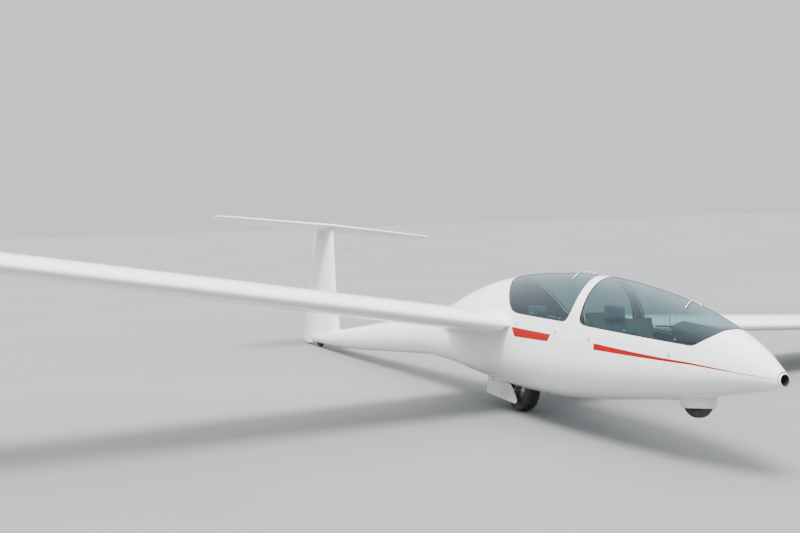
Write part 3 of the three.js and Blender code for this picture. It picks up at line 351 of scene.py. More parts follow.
# Meshes. A shape is a pair of points and faces, and a piece is a shape that rides a body.
def make_object(name, shape, finishes, body="airframe", node=None, sharp=None, marks=None, normals=None):
    """Puts a shape given in level millimetres into the shared frame, where a CAD node may give way to it.
    Marks give each face's finish, and normals are one per face corner, in level axes."""
    points, faces = shape
    mesh = bpy.data.meshes.new(name)
    mesh.from_pydata(to_row(points).tolist(), [], [list(map(int, face)) for face in faces])
    for finish in finishes if isinstance(finishes, list) else [finishes]:
        mesh.materials.append(finish)
    if marks is not None:
        mesh.polygons.foreach_set("material_index", np.asarray(marks, np.int32))
    mesh.polygons.foreach_set("use_smooth", np.ones(len(mesh.polygons), bool))
    if sharp is not None:
        mesh.set_sharp_from_angle(angle=math.radians(sharp))
    if normals is not None:
        mesh.normals_split_custom_set(turned(normals).tolist())
    mesh.update()
    thing = bpy.data.objects.new(name, mesh)
    bpy.context.scene.collection.objects.link(thing)
    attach(thing, body)
    if node:
        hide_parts(node)
    return thing


def painted(name, groups, body="airframe", node=None, sharp=35):
    """One mesh of several shapes, given as (finish, shape) pairs."""
    finishes = list(dict.fromkeys(finish for finish, _ in groups))
    marks = [finishes.index(finish) for finish, shape in groups for _ in shape[1]]
    return make_object(name, joined([shape for _, shape in groups]), finishes, body, node, sharp, marks)


def merged(points, faces, digits=3):
    """Which points stay when those that coincide are joined, and the faces that don't collapse."""
    _, first, back = np.unique(np.round(points, digits), axis=0, return_index=True, return_inverse=True)
    back = back.ravel()
    kept = []
    for face in faces:
        ring = [int(back[corner]) for corner in face]
        ring = [corner for i, corner in enumerate(ring) if corner != ring[i - 1]]
        if len(ring) >= 3:
            kept.append(ring)
    return first, kept


def grid_faces(rows, columns, closed=False, looped=False):
    """Quads of a grid stored row by row. Closed joins each row's ends, and looped the last row to the first."""
    faces = []
    for row in range(rows if looped else rows - 1):
        start, following = row * columns, (row + 1) % rows * columns
        for a in range(columns if closed else columns - 1):
            b = (a + 1) % columns
            faces.append((start + a, start + b, following + b, following + a))
    return faces


def outward(points, faces):
    """Turns a closed mesh's faces outwards, by its volume."""
    points = np.asarray(points, float)
    volume = 0.0
    for size in {len(face) for face in faces}:
        same = points[np.array([face for face in faces if len(face) == size])]
        for i in range(1, size - 1):
            volume += np.einsum("ij,ij->", same[:, 0], np.cross(same[:, i], same[:, i + 1]))
    # level axes are left-handed while x is a station aft, so a negative volume is the outward one
    return faces if volume < 0 else [tuple(reversed(face)) for face in faces]


def to_side(shape, side):
    """A shape made for the port side, on a side."""
    points = shape[0] * [1, side, 1]
    return points, outward(points, shape[1])


def lofted(rings):
    """A closed skin through rings of equal count, with both ends capped."""
    rings = np.asarray(rings, float)
    count, sides = rings.shape[:2]
    faces = grid_faces(count, sides, closed=True)
    faces += [tuple(reversed(range(sides))), tuple(range((count - 1) * sides, count * sides))]
    points = rings.reshape(-1, 3)
    return points, outward(points, faces)


def hoop(rings):
    """A closed skin through rings of equal count whose last ring meets the first."""
    points = np.concatenate(rings)
    return points, outward(points, grid_faces(len(rings), len(rings[0]), True, True))


def circle(sides):
    return np.linspace(0, 2 * np.pi, sides, endpoint=False)


def joined(parts):
    """Several (points, faces) as one."""
    points, faces = [], []
    for more_points, more_faces in parts:
        start = sum(len(block) for block in points)
        points.append(np.asarray(more_points, float))
        faces += [tuple(corner + start for corner in face) for face in more_faces]
    return np.concatenate(points), faces


def tube(path, radii, sides=16):
    """A round tube along points, with one radius or one for each point."""
    path = np.asarray(path, float)
    tangents = np.gradient(path, axis=0)
    tangents /= np.linalg.norm(tangents, axis=1)[:, None]
    side = np.cross(tangents[0], [0.31, 0.2, 0.93])
    angles = circle(sides)[:, None]
    rings = []
    for point, tangent, radius in zip(path, tangents, np.broadcast_to(radii, len(path))):
        side = side - tangent * np.dot(side, tangent)
        side /= np.linalg.norm(side)
        other = np.cross(tangent, side)
        rings.append(point + radius * (np.cos(angles) * side + np.sin(angles) * other))
    return lofted(rings)


def rod(start, end, radius, sides):
    start, end = np.asarray(start, float), np.asarray(end, float)
    return tube([start, (start + end) / 2, end], radius, sides)


def curve_through(points, count):
    """A smooth curve through points, by centripetal steps of a cubic."""
    points = np.asarray(points, float)
    ends = np.concatenate([[2 * points[0] - points[1]], points, [2 * points[-1] - points[-2]]])
    samples = []
    for place in np.linspace(0, len(points) - 1, count):
        i = min(int(place), len(points) - 2)
        t = place - i
        a, b, c, d = ends[i:i + 4]
        samples.append(0.5 * (2 * b + (c - a) * t + (2 * a - 5 * b + 4 * c - d) * t * t
                              + (3 * b - a - 3 * c + d) * t ** 3))
    return np.array(samples)


def spun(profile, centre, sides=64, axis=1):
    """A turned piece about an axle. The profile is a closed list of (radius, place along the axle)."""
    profile = np.asarray(profile, float)
    angles = circle(sides)[:, None]
    rings = np.zeros((sides, len(profile), 3))
    first, second = (i for i in range(3) if i != axis)
    rings[..., first], rings[..., second] = profile[:, 0] * np.cos(angles), profile[:, 0] * np.sin(angles)
    rings[..., axis] = profile[:, 1]
    points = rings.reshape(-1, 3) + np.asarray(centre, float)
    stay, faces = merged(points, grid_faces(sides, len(profile), True, True))
    return points[stay], outward(points[stay], faces)


def rounded(outline, radius=80.0, steps=6):
    """An outline with every corner turned into a smooth bend."""
    outline = np.asarray(outline, float)
    points = []
    for i, corner in enumerate(outline):
        before, after = outline[i - 1], outline[(i + 1) % len(outline)]
        ends = []
        for other in (before, after):
            length = np.linalg.norm(other - corner)
            ends.append(corner + (other - corner) * min(radius / length, 0.5))
        for t in np.linspace(0, 1, steps):
            points.append((1 - t) ** 2 * ends[0] + 2 * t * (1 - t) * corner + t * t * ends[1])
    return np.array(points)


def depth_inside(outline, places, heights):
    """How far each point of the side view lies inside an outline; negative outside."""
    starts, ends = outline, np.roll(outline, -1, axis=0)
    best = np.full(len(places), np.inf)
    crossings = np.zeros(len(places), int)
    for (x0, z0), (x1, z1) in zip(starts, ends):
        dx, dz = x1 - x0, z1 - z0
        length = dx * dx + dz * dz
        if length < 1e-9:
            continue
        t = np.clip(((places - x0) * dx + (heights - z0) * dz) / length, 0, 1)
        best = np.minimum(best, np.hypot(places - x0 - t * dx, heights - z0 - t * dz))
        spans = (z0 > heights) != (z1 > heights)
        if dz:
            crossings += spans & (places < x0 + dx * (heights - z0) / dz)
    return np.where(crossings % 2 == 1, best, -best)


# Fuselage surface
def column(table, index, places):
    """One column of a table between its rows, smooth and with no overshoot."""
    x, y = table[:, 0], table[:, index]
    h, rise = np.diff(x), np.diff(y) / np.diff(x)
    slope = np.empty(len(x))
    slope[0], slope[-1] = rise[0], rise[-1]
    for i in range(1, len(x) - 1):
        a, b = rise[i - 1], rise[i]
        near, far = 2 * h[i] + h[i - 1], h[i] + 2 * h[i - 1]
        slope[i] = 0 if a * b <= 0 else (near + far) / (near / a + far / b)
    places = np.clip(places, x[0], x[-1])
    row = np.clip(np.searchsorted(x, places, side="right") - 1, 0, len(x) - 2)
    t = (places - x[row]) / h[row]
    ease = t * t * (3 - 2 * t)
    return (y[row] * (1 - ease) + y[row + 1] * ease
            + h[row] * (t * (1 - t) ** 2 * slope[row] - t * t * (1 - t) * slope[row + 1]))


BLUR = np.linspace(-1, 1, 13)
BLUR_WEIGHTS = np.cos(BLUR * np.pi / 2) ** 2 + 1e-6


def body_row(stations):
    """Keel, crown, half width, widest height and both roundnesses, eased along the length."""
    stations = np.asarray(stations, float)
    reach = np.clip(0.2 * stations, 0, 160) * np.clip((BODY[-1, 0] - stations) / 400, 0, 1)
    values = []
    for index in range(1, 7):
        spread = [column(BODY, index, stations + step * reach) for step in BLUR]
        values.append(np.tensordot(BLUR_WEIGHTS, spread, 1) / BLUR_WEIGHTS.sum())
    return values


def body_point(stations, angles, inset=0.0):
    """Points of the fuselage skin by station and angle, which is 0 to port and a quarter turn at the crown."""
    keel, crown, half, wide, above, below = body_row(stations)
    across, up = np.cos(angles), np.sin(angles)
    power = 2 / np.where(up >= 0, above, below)
    tall = np.where(up >= 0, crown - wide, wide - keel) - inset
    y = (half - inset) * np.sign(across) * np.abs(across) ** power
    z = wide + tall * np.sign(up) * np.abs(up) ** power
    return np.stack(np.broadcast_arrays(stations, y, z), -1).astype(float)


def body_normal(stations, angles):
    """Outward normals of the skin, as (aft, port, up)."""
    step_s, step_a = 4.0, 0.02
    along = body_point(stations + step_s, angles) - body_point(stations - step_s, angles)
    around = body_point(stations, angles + step_a) - body_point(stations, angles - step_a)
    normal = np.cross(along, around)
    normal /= np.linalg.norm(normal, axis=-1)[..., None] + 1e-12
    centre = np.stack(np.broadcast_arrays(stations, 0 * angles, body_row(stations)[3]), -1)
    away = np.sum(normal * (body_point(stations, angles) - centre), -1)
    return normal * np.where(away < 0, -1, 1)[..., None]


def body_half(stations, heights, inset=0.0):
    """Half width of the fuselage at a height."""
    keel, crown, half, wide, above, below = body_row(stations)
    over = heights > wide
    tall = np.where(over, crown - wide, wide - keel) - inset
    power = np.where(over, above, below)
    share = np.clip(np.abs(heights - wide) / tall, 0, 1)
    return (half - inset) * (1 - share ** power) ** (1 / power)


def clipped(stations, angles, fields):
    """A grid of the skin cut by fields that are positive where it stays. Returns parameters and faces."""
    s_grid, a_grid = np.meshgrid(stations, angles, indexing="ij")
    params = [tuple(pair) for pair in np.column_stack([s_grid.ravel(), a_grid.ravel()])]
    faces = grid_faces(len(stations), len(angles))
    for field in fields:
        array = np.array(params)
        values = field(body_point(array[:, 0], array[:, 1])).tolist()
        crossing, kept = {}, []

        def cross_point(a, b):
            key = (a, b) if a < b else (b, a)
            if key not in crossing:
                share = values[key[0]] / (values[key[0]] - values[key[1]])
                first, second = params[key[0]], params[key[1]]
                crossing[key] = len(params)
                params.append(tuple(p + share * (q - p) for p, q in zip(first, second)))
            return crossing[key]

        for face in faces:
            inside = [values[corner] >= 0 for corner in face]
            if all(inside):
                kept.append(face)
            elif any(inside):
                ring = []
                for i, corner in enumerate(face):
                    following = face[(i + 1) % len(face)]
                    if values[corner] >= 0:
                        ring.append(corner)
                    if (values[corner] >= 0) != (values[following] >= 0):
                        ring.append(cross_point(corner, following))
                kept.append(tuple(ring))
        faces = kept
    return np.array(params), faces


def shell_piece(name, stations, angles, fields, finishes, depth, body="airframe", node=None, proud=0.0,
                edge=1.2):
    """A panel of the fuselage skin with real thickness and softened edges. A second finish is for its inside."""
    params, faces = clipped(stations, angles, fields)
    used = sorted({corner for face in faces for corner in face})
    order = {corner: i for i, corner in enumerate(used)}
    params = params[used].T
    points, normals = body_point(*params), body_normal(*params)
    first, clean = merged(points, [[order[corner] for corner in face] for face in faces])
    points, normals = points[first], normals[first]
    a, b, c = clean[len(clean) // 2][:3]
    if np.dot(np.cross(points[b] - points[a], points[c] - points[a]), normals[a]) > 0:
        clean = [face[::-1] for face in clean]  # stations run aft, so the mirrored order is the outward one
    edges = dict.fromkeys(pair for face in clean for pair in zip(face, face[1:] + face[:1]))
    border = [pair for pair in edges if pair[::-1] not in edges]
    shift = np.zeros_like(points)
    for a, b in border:
        push = np.cross(points[b] - points[a], normals[a])
        shift[a] += push
        shift[b] += push
    length = np.linalg.norm(shift, axis=1)[:, None]
    shift /= np.where(length > 1e-9, length, 1)
    a, b = border[0]
    middle = points[next(face for face in clean if a in face and b in face)].mean(axis=0)
    inward = 1 if np.dot(shift[a], middle - points[a]) > 0 else -1
    top, bottom = points + normals * proud, points - normals * (depth - proud)
    lip = top - normals * edge - shift * edge * 0.8 * inward
    count = len(points)
    all_points = np.concatenate([top, bottom, lip])
    all_faces = clean + [[corner + count for corner in reversed(face)] for face in clean]
    all_normals = [normals[corner] for face in clean for corner in face]
    all_normals += [-normals[corner] for face in clean for corner in reversed(face)]
    for a, b in border:
        for low, high in ((2 * count, 0), (count, 2 * count)):
            quad = [b + high, a + high, a + low, b + low]
            all_faces.append(quad)
            corners = all_points[quad]
            flat = np.cross(corners[1] - corners[0], corners[2] - corners[0])
            all_normals += [-flat / (np.linalg.norm(flat) + 1e-12)] * 4
    inner_mark = 1 if isinstance(finishes, list) else 0
    marks = [0] * len(clean) + [inner_mark] * len(clean) + [0] * 2 * len(border)
    make_object(name, (all_points, all_faces), finishes, body, node, None, marks, np.array(all_normals))


def inside(outline, margin=0.0, sign=1):
    """A field that is positive where a side view lies inside an outline, by more than a margin."""
    smooth = rounded(outline)
    return lambda p: sign * depth_inside(smooth, p[:, 0], p[:, 2]) - margin


def outside(outline, margin=0.0):
    return inside(outline, margin, -1)


def beyond_box(bay, corner=25.0):
    """Positive outside a bay's opening, which has round corners, and everywhere above the bay's roof."""
    middle, reach = (bay["front"] + bay["rear"]) / 2, (bay["rear"] - bay["front"]) / 2

    def field(p):
        dx = np.abs(p[:, 0] - middle) - reach + corner
        dy = np.abs(p[:, 1]) - bay["half"] + corner
        gap = np.hypot(np.maximum(dx, 0), np.maximum(dy, 0)) + np.minimum(np.maximum(dx, dy), 0) - corner
        return np.maximum(gap, p[:, 2] - bay["top"])
    return field


def steps_between(start, end, size):
    return np.linspace(start, end, max(2, int(round((end - start) / size)) + 1))


FULL_TURN = np.linspace(0, 2 * np.pi, 145)
NOSE_STEPS = POD_FRONT + (320 - POD_FRONT) * np.linspace(0, 1, 34) ** 1.5
POD_STEPS = np.concatenate([NOSE_STEPS, steps_between(332, POD_REAR, 17.2)])
BOOM_DEPTH, SEAL_DEPTH, SEAL_WIDTH, CANOPY_CLEARANCE = 6.0, 7.0, 9.0, 3.0


def fuselage():
    holes = [outside(FRONT_PANEL), outside(REAR_PANEL), beyond_box(MAIN_BAY), beyond_box(NOSE_BAY)]
    shell_piece("pod_skin", POD_STEPS, FULL_TURN, holes, [GELCOAT, LINER], SKIN, node="fuselage_pod")
    shell_piece("boom_skin", steps_between(POD_REAR, BOOM_REAR, 40), FULL_TURN[::2], [beyond_box(TAIL_SLOT)],
                GELCOAT, BOOM_DEPTH, node="tail_boom")
    bulkheads = (("cabin", CABIN_REAR, SKIN, LINER), ("tail", BOOM_REAR - 6, 3.0, GELCOAT))
    for name, station, inset, finish in bulkheads:
        rings = [body_point(np.full(72, station + step), circle(72), inset) for step in (0.0, 5.0)]
        make_object(f"{name}_bulkhead", lofted(rings), finish, sharp=30)


def canopy(name, panel, glass, stations):
    """One canopy: moulded frame, black seal and tinted pane."""
    body, over = f"canopy_{name}", np.linspace(0.0, np.pi, 109)
    shell_piece(f"{body}_rim", stations, over, [inside(panel, CANOPY_CLEARANCE), outside(glass)],
                [GELCOAT, LINER], FRAME_DEPTH, body, f"{body}_frame")
    shell_piece(f"{body}_seal", stations, over, [inside(glass), outside(glass, -SEAL_WIDTH)], SEAL, SEAL_DEPTH,
                body, proud=0.4, edge=0.8)
    shell_piece(f"{body}_pane", stations, over, [inside(glass, SEAL_WIDTH)], TINT_AND_SHADE, GLASS_DEPTH, body,
                f"{body}_glass", edge=0.6)


def stripe_piece(name, rows, finish, side, across=7):
    """A band on the fuselage side. Rows are station, lower height, upper height."""
    rows = np.asarray(rows, float)
    stations = steps_between(rows[0, 0], rows[-1, 0], 14)
    low, high = (np.interp(stations, rows[:, 0], rows[:, i])[:, None] for i in (1, 2))
    share = np.linspace(0, 1, across)
    heights = low * (1 - share) + high * share
    places = np.repeat(stations[:, None], across, axis=1)
    halves = body_half(places, heights)
    points = np.concatenate([np.stack([places, side * (halves + lift), heights], -1).reshape(-1, 3)
                             for lift in (0.35, -1.0)])
    index, count = np.arange(places.size).reshape(places.shape), places.size
    rim = np.concatenate([index[0], index[1:, -1], index[-1, -2::-1], index[-2:0:-1, 0]])
    faces = grid_faces(*places.shape)
    faces += [tuple(corner + count for corner in reversed(face)) for face in faces]
    faces += [(b, a, a + count, b + count) for a, b in zip(rim, np.roll(rim, -1))]
    make_object(name, (points, outward(points, faces)), finish, sharp=30)


STRIPES = dict(
    stripe=(RED, [(990, 95, 122), (1100, 103, 135), (1300, 119, 160), (1480, 133, 182)]),
    stripe_front=(RED, [(300, 35, 42), (570, 65, 79), (800, 81, 101), (990, 95, 122)]),
    stripe_tip=(FADED_RED, [(36, 3, 6.5), (120, 14, 18), (220, 25, 31), (300, 35, 42)]),
    stripe_block=(RED, [(2032, 239, 239.5), (2072, 181, 243), (2572, 212, 290), (2636, 295, 296)]))

fuselage()
canopy("front", FRONT_PANEL, FRONT_GLASS, steps_between(330, 1732, 11.0))
canopy("rear", REAR_PANEL, REAR_GLASS, steps_between(1756, 3046, 11.0))
for side, word in reversed(SIDES):
    for stripe, (finish, rows) in STRIPES.items():
        stripe_piece(f"{stripe}_{word}", rows, finish, side)


# Wing-like surfaces
def foil(x, thickness, camber, side):
    """Height of a section's surface at a share of the chord."""
    half = 5 * thickness * (0.2969 * np.sqrt(x) - 0.126 * x - 0.3516 * x ** 2 + 0.2843 * x ** 3 - 0.1015 * x ** 4)
    crest = 0.4
    front = camber / crest ** 2 * (2 * crest * x - x * x)
    rear = camber / (1 - crest) ** 2 * (1 - 2 * crest + 2 * crest * x - x * x)
    return np.where(x < crest, front, rear) + side * np.maximum(half, 0.0015)


# The round nose of a control surface, as a share of the section's half thickness
NOSE_SHARE = 0.985


def blade_sizes(surface, place):
    """Leading edge, chord, height, incidence in radians and thickness at a place along the span."""
    rows, place = surface["rows"], np.abs(place)
    lead, chord, height, tilt, thick = (np.interp(place, rows[:, 0], rows[:, i]) for i in range(1, 6))
    return lead, chord, height, np.radians(tilt), thick


def blade_point(surface, x, side, place, squeeze=1.0):
    """A point of a wing or tailplane surface: share of the chord, +1 above or -1 below, place along the span."""
    lead, chord, height, tilt, thick = blade_sizes(surface, place)
    middle = foil(x, thick, surface["camber"], 0)
    z = middle + (foil(x, thick, surface["camber"], side) - middle) * squeeze
    return np.stack(np.broadcast_arrays(lead + chord * (x * np.cos(tilt) + z * np.sin(tilt)), place,
                                        height + chord * (z * np.cos(tilt) - x * np.sin(tilt))), -1)


def spaced(start, end, count):
    """Shares of the chord bunched at the leading edge."""
    return start + (end - start) * (1 - np.cos(np.linspace(0, np.pi / 2, count)))


def arc(centre, radius, angles):
    """Points around a centre in side view."""
    return np.stack([centre[0] + radius * np.cos(angles), np.full(len(angles), centre[1]),
                     centre[2] + radius * np.sin(angles)], -1)


FRONT_COUNT, REAR_COUNT = 34, 9


def blade_ring(surface, place, cut=False, squeeze=1.0):
    """A section as front part and rear part, both of fixed count. When cut, the rear is the hinge's shroud."""
    _, chord, _, _, thick = blade_sizes(surface, place)
    hinge, gap = surface["hinge"], surface["gap"]
    half = foil(hinge, thick, 0.0, 1) * chord
    radius = half * NOSE_SHARE
    lip = hinge - math.sqrt(max((radius + gap) ** 2 - half ** 2, 1)) / chord
    shares = spaced(0, lip if cut else hinge, FRONT_COUNT)
    upper = blade_point(surface, shares[::-1], 1, place, squeeze)
    lower = blade_point(surface, shares[1:], -1, place, squeeze)
    if not cut:
        back = np.linspace(hinge, 1, REAR_COUNT + 1)[1:]
        return np.concatenate([upper, lower, blade_point(surface, back, -1, place, squeeze),
                               blade_point(surface, back[::-1], 1, place, squeeze)])
    centre = blade_point(surface, np.array(hinge), 0, place, 0.0)
    start, end = lower[-1] - centre, upper[0] - centre
    first, final = math.atan2(start[2], start[0]), math.atan2(end[2], end[0])
    if first < final:
        first += 2 * math.pi
    angles = np.linspace(first, final, 2 * REAR_COUNT + 2)[1:-1]
    return np.concatenate([upper, lower, arc(centre, radius + gap, angles)])


def flap_ring(surface, place):
    """A control surface's section: round nose on the hinge line, then both surfaces to the trailing edge."""
    _, chord, _, tilt, thick = blade_sizes(surface, place)
    hinge = surface["hinge"]
    centre = blade_point(surface, np.array(hinge), 0, place, 0.0)
    back = np.linspace(hinge, 1, 16)
    nose = arc(centre, foil(hinge, thick, 0.0, 1) * chord * NOSE_SHARE,
               np.linspace(math.pi / 2, 3 * math.pi / 2, 15)[1:-1] - tilt)
    return np.concatenate([blade_point(surface, back[::-1], 1, place), nose,
                           blade_point(surface, back, -1, place)])


def span_places(surface, start, end, size):
    between = {float(y) for y in surface["rows"][:, 0] if start < y < end}
    return sorted(set(np.round(steps_between(start, end, size), 3)) | between)


def with_bay(places, bay, margin, seam=0.4):
    """Places along the span with a narrow step at both ends of a control surface's bay."""
    kept = [y for y in places if all(abs(y - end) > margin for end in bay)]
    return sorted(kept + [end + step for end in bay for step in (-seam, seam)])


def tip_rounding(start, reach, thinnest, turns):
    """Places along the span, and how far the section is squeezed there, that round off a tip."""
    return [(start + reach * math.sin(turn * math.pi / 2), max(math.cos(turn * math.pi / 2), thinnest))
            for turn in turns]


def wing(side, word):
    """Wing inside the tip joint, the panel outside it with a rounded end, and the aileron."""
    bay = (AILERON["start"] - WING["gap"], AILERON["end"] + WING["gap"])
    main = [blade_ring(WING, y, bay[0] < y < bay[1])
            for y in with_bay(span_places(WING, ROOT_RIB, TIP_JOINT - 1, 90.0), bay, 20)]
    tip = [blade_ring(WING, y) for y in span_places(WING, TIP_JOINT + 1, HALF_SPAN - 40, 60.0)]
    tip += [blade_ring(WING, y, False, squeeze)
            for y, squeeze in tip_rounding(HALF_SPAN - 40, 39.5, 0.06, np.linspace(0.15, 1, 7))]
    aileron = [flap_ring(WING, y) for y in span_places(WING, AILERON["start"], AILERON["end"], 150.0)]
    pieces = ((f"wing_{word}", main, "airframe", 35), (f"wing_tip_{word}", tip, "airframe", 50),
              (f"aileron_{word}", aileron, f"aileron_{word}", 35))
    for name, rings, body, sharp in pieces:
        make_object(f"{name}_skin", to_side(lofted(rings), side), GELCOAT, body, name, sharp)


# The crisp line where the wing's underside meets the fuselage, as (station, height)
LENS = [(2650, 306), (2690, 305), (2715, 303), (2740, 299), (2770, 292), (2800, 285), (2828, 279), (2860, 273),
        (2900, 267), (2956, 260), (3100, 251), (3316, 244), (3600, 243), (3912, 256), (4144, 267)]


def root_fairing(side, word):
    """Moulded fairing that carries the wing's section into the fuselage side and runs out behind it."""
    shares = spaced(0, 1, 44)
    xs = np.concatenate([shares[::-1], shares[1:-1]])
    sides = np.concatenate([np.ones(44), -np.ones(42)])
    start = blade_point(WING, xs, sides, np.full(len(xs), ROOT_RIB - 1.2))
    meet = start.copy()
    for _ in range(12):
        meet = blade_point(WING, xs, sides, body_half(meet[:, 0], meet[:, 2]))
    meet[:, 1] = body_half(meet[:, 0], meet[:, 2])
    outline = meet[:, [0, 2]]
    tangent = np.roll(outline, -1, axis=0) - np.roll(outline, 1, axis=0)
    normal = np.stack([tangent[:, 1], -tangent[:, 0]], -1)
    normal /= np.linalg.norm(normal, axis=1)[:, None]
    normal *= np.sign(np.sum(normal * (outline - outline.mean(axis=0)), 1))[:, None]
    foot = outline + normal * (26.0 + 14.0 * xs - 16.0 * np.exp(-xs / 0.02))[:, None]
    crease = outline[:, 0] - 10.0 * np.exp(-xs / 0.03)
    under = sides < 0
    foot[under] = np.column_stack([crease, np.interp(crease, *np.transpose(LENS))])[under]
    rear = np.clip((xs - 0.82) / 0.18, 0, 1) ** 2
    foot[:, 0] += rear * 310.0
    foot[:, 1] += rear * (262.0 - foot[:, 1]) * 0.75
    feet = np.stack([foot[:, 0], body_half(foot[:, 0], foot[:, 1]) + 0.4, foot[:, 1]], -1)
    meet[under] = (start + feet)[under] / 2
    rings = [start - [0, 6.0, 0]]
    rings += [(1 - t) ** 2 * start + 2 * t * (1 - t) * meet + t * t * feet for t in np.linspace(0, 1, 13)]
    rings.append(feet - [0, 8.0, 0])
    make_object(f"wing_root_{word}", to_side(lofted(rings), side), GELCOAT, sharp=60)


def wing_strip(start, end, half, rise, depth):
    """A thin strip along the airbrake's line, with a height above the wing's upper surface."""
    rings = []
    for y in steps_between(start, end, 100.0):
        offsets = np.linspace(-half, half, 5) / blade_sizes(WING, y)[1]
        top = blade_point(WING, AIRBRAKE["share"] + offsets, 1, np.full(5, y)) + [0, 0, rise]
        rings.append(np.concatenate([top, top[::-1] - [0, 0, depth]]))
    return lofted(rings)


def airbrake(side, word):
    """Airbrake: a capping strip flush with the wing, a blade below it and the dark slot around it."""
    start, end, half = AIRBRAKE["start"], AIRBRAKE["end"], AIRBRAKE["width"] / 2
    blade = []
    for y in steps_between(start + 20, end - 20, 100.0):
        x, _, z = blade_point(WING, np.array(AIRBRAKE["share"]), 1, y)
        low, high = z - AIRBRAKE["depth"], z - 5
        blade.append([(x - 3, y, low), (x + 3, y, low), (x + 3, y, high), (x - 3, y, high)])
    shape = joined([wing_strip(start, end, half, 0.6, 7.0), lofted(blade)])
    make_object(f"airbrake_{word}_blade", to_side(shape, side), GELCOAT, f"airbrake_{word}",
                f"airbrake_{word}", 30)
    slot = wing_strip(start - 3, end + 3, half + 2.5, 0.15, 2.0)
    make_object(f"airbrake_{word}_slot", to_side(slot, side), SEAL, sharp=30)


for side, word in SIDES:
    wing(side, word)
    root_fairing(side, word)
    airbrake(side, word)


def tailplane():
    """Tailplane in one span with both elevator bays, and the two-sided elevator."""
    bay = (ELEVATOR["start"] - TAIL["gap"], ELEVATOR["end"] + TAIL["gap"])
    places = [(y, 1.0) for y in with_bay(span_places(TAIL, 0, TAIL_TIP, 60.0), bay, 12)]
    places += tip_rounding(TAIL_TIP, 11.5, 0.08, (0.3, 0.6, 0.85, 1.0))
    rings = np.array([blade_ring(TAIL, y, bay[0] < y < bay[1], squeeze) for y, squeeze in places])
    make_object("tailplane_skin", lofted(np.concatenate([rings[:0:-1] * [1, -1, 1], rings])), GELCOAT,
                node="tailplane", sharp=35)
    flap = lofted([flap_ring(TAIL, y) for y in span_places(TAIL, ELEVATOR["start"], ELEVATOR["end"], 80.0)])
    x, _, z = blade_point(TAIL, np.array(TAIL["hinge"]), 0, 0.0, 0.0)
    spindle = tube([(x, y, z) for y in np.linspace(-110, 110, 5)], 8.0)
    make_object("elevator_skin", joined([flap, to_side(flap, -1), spindle]), GELCOAT, "elevator",
                "elevator", 35)


def rudder_hinge(z):
    """The hinge line's station at a height, and the fin's half thickness there."""
    (s0, z0), (s1, z1) = RUDDER_LINE
    station = s0 + (s1 - s0) * (z - z0) / (z1 - z0)
    return station, fin_half(z, station)


def fin_half(z, station):
    lead, chord, thick = (np.interp(z, FIN[:, 0], FIN[:, i]) for i in (1, 2, 3))
    return float(chord * foil(np.clip((station - lead) / chord, 0, 1), thick, 0.0, 1))


def fin():
    rings = []
    for z in steps_between(100, FIN_TOP, 42.0):
        lead, chord, thick = (np.interp(z, FIN[:, 0], FIN[:, i]) for i in (1, 2, 3))
        centre, half = rudder_hinge(z)
        reach = half + FIN_GAP
        shares = spaced(0, (centre - math.sqrt(reach ** 2 - half ** 2) - lead) / chord, 40)
        upper = np.stack([lead + shares * chord, foil(shares, thick, 0, 1) * chord, np.full(40, z)], -1)[::-1]
        start = math.atan2(-upper[0][1], upper[0][0] - centre) + 2 * math.pi
        angles = np.linspace(start, 2 * math.pi - start, 16)[1:-1]
        shroud = np.stack([centre + reach * np.cos(angles), reach * np.sin(angles), np.full(14, z)], -1)
        rings.append(np.concatenate([upper, upper[-2::-1] * [1, -1, 1], shroud]))
    make_object("fin_skin", lofted(rings), GELCOAT, node="fin", sharp=35)


# The rudder's section, as (side, share of the way back to its tail), and as (0, angle) round its nose
RUDDER_POINTS = ([(1, t) for t in np.linspace(1, 0.08, 10)]
                 + [(0, t) for t in np.linspace(math.pi / 2, 3 * math.pi / 2, 13)]
                 + [(-1, t) for t in np.linspace(0.08, 1, 10)])


def rudder():
    """Rudder whose sections follow the sloping heel below and the level top above."""
    rings = []
    for share in np.linspace(0, 1, 40):
        ring = []
        for side, t in RUDDER_POINTS:
            z = 300.0
            for _ in range(10):
                centre, half = rudder_hinge(z)
                radius = half - 1
                if side:
                    s = centre + (np.interp(z, RUDDER_TAIL[:, 1], RUDDER_TAIL[:, 0]) - centre) * t
                    y = side * (radius * (1 - t) ** 1.06 * (1 + 0.12 * t) + 2 * t)
                else:
                    s, y = centre + radius * math.cos(t), radius * math.sin(t)
                low = np.interp(s, RUDDER_HEEL[:, 0], RUDDER_HEEL[:, 1])
                z = low + (RUDDER_TOP - low) * share
            ring.append((s, y, z))
        rings.append(ring)
    make_object("rudder_skin", lofted(rings), GELCOAT, "rudder", "rudder", 40)


def probe():
    path = curve_through([(7694, 0, 1251), (7600, 0, 1259), (7260, 0, 1290), (7200, 0, 1297),
                          (7151, 0, 1320)], 40)
    radii = np.interp(np.linspace(0, 1, 40), [0, 0.1, 0.9, 1], [7.5, 5.0, 4.4, 3.4])
    make_object("probe_tube", tube(path, radii, 14), ALLOY, node="energy_probe", sharp=40)


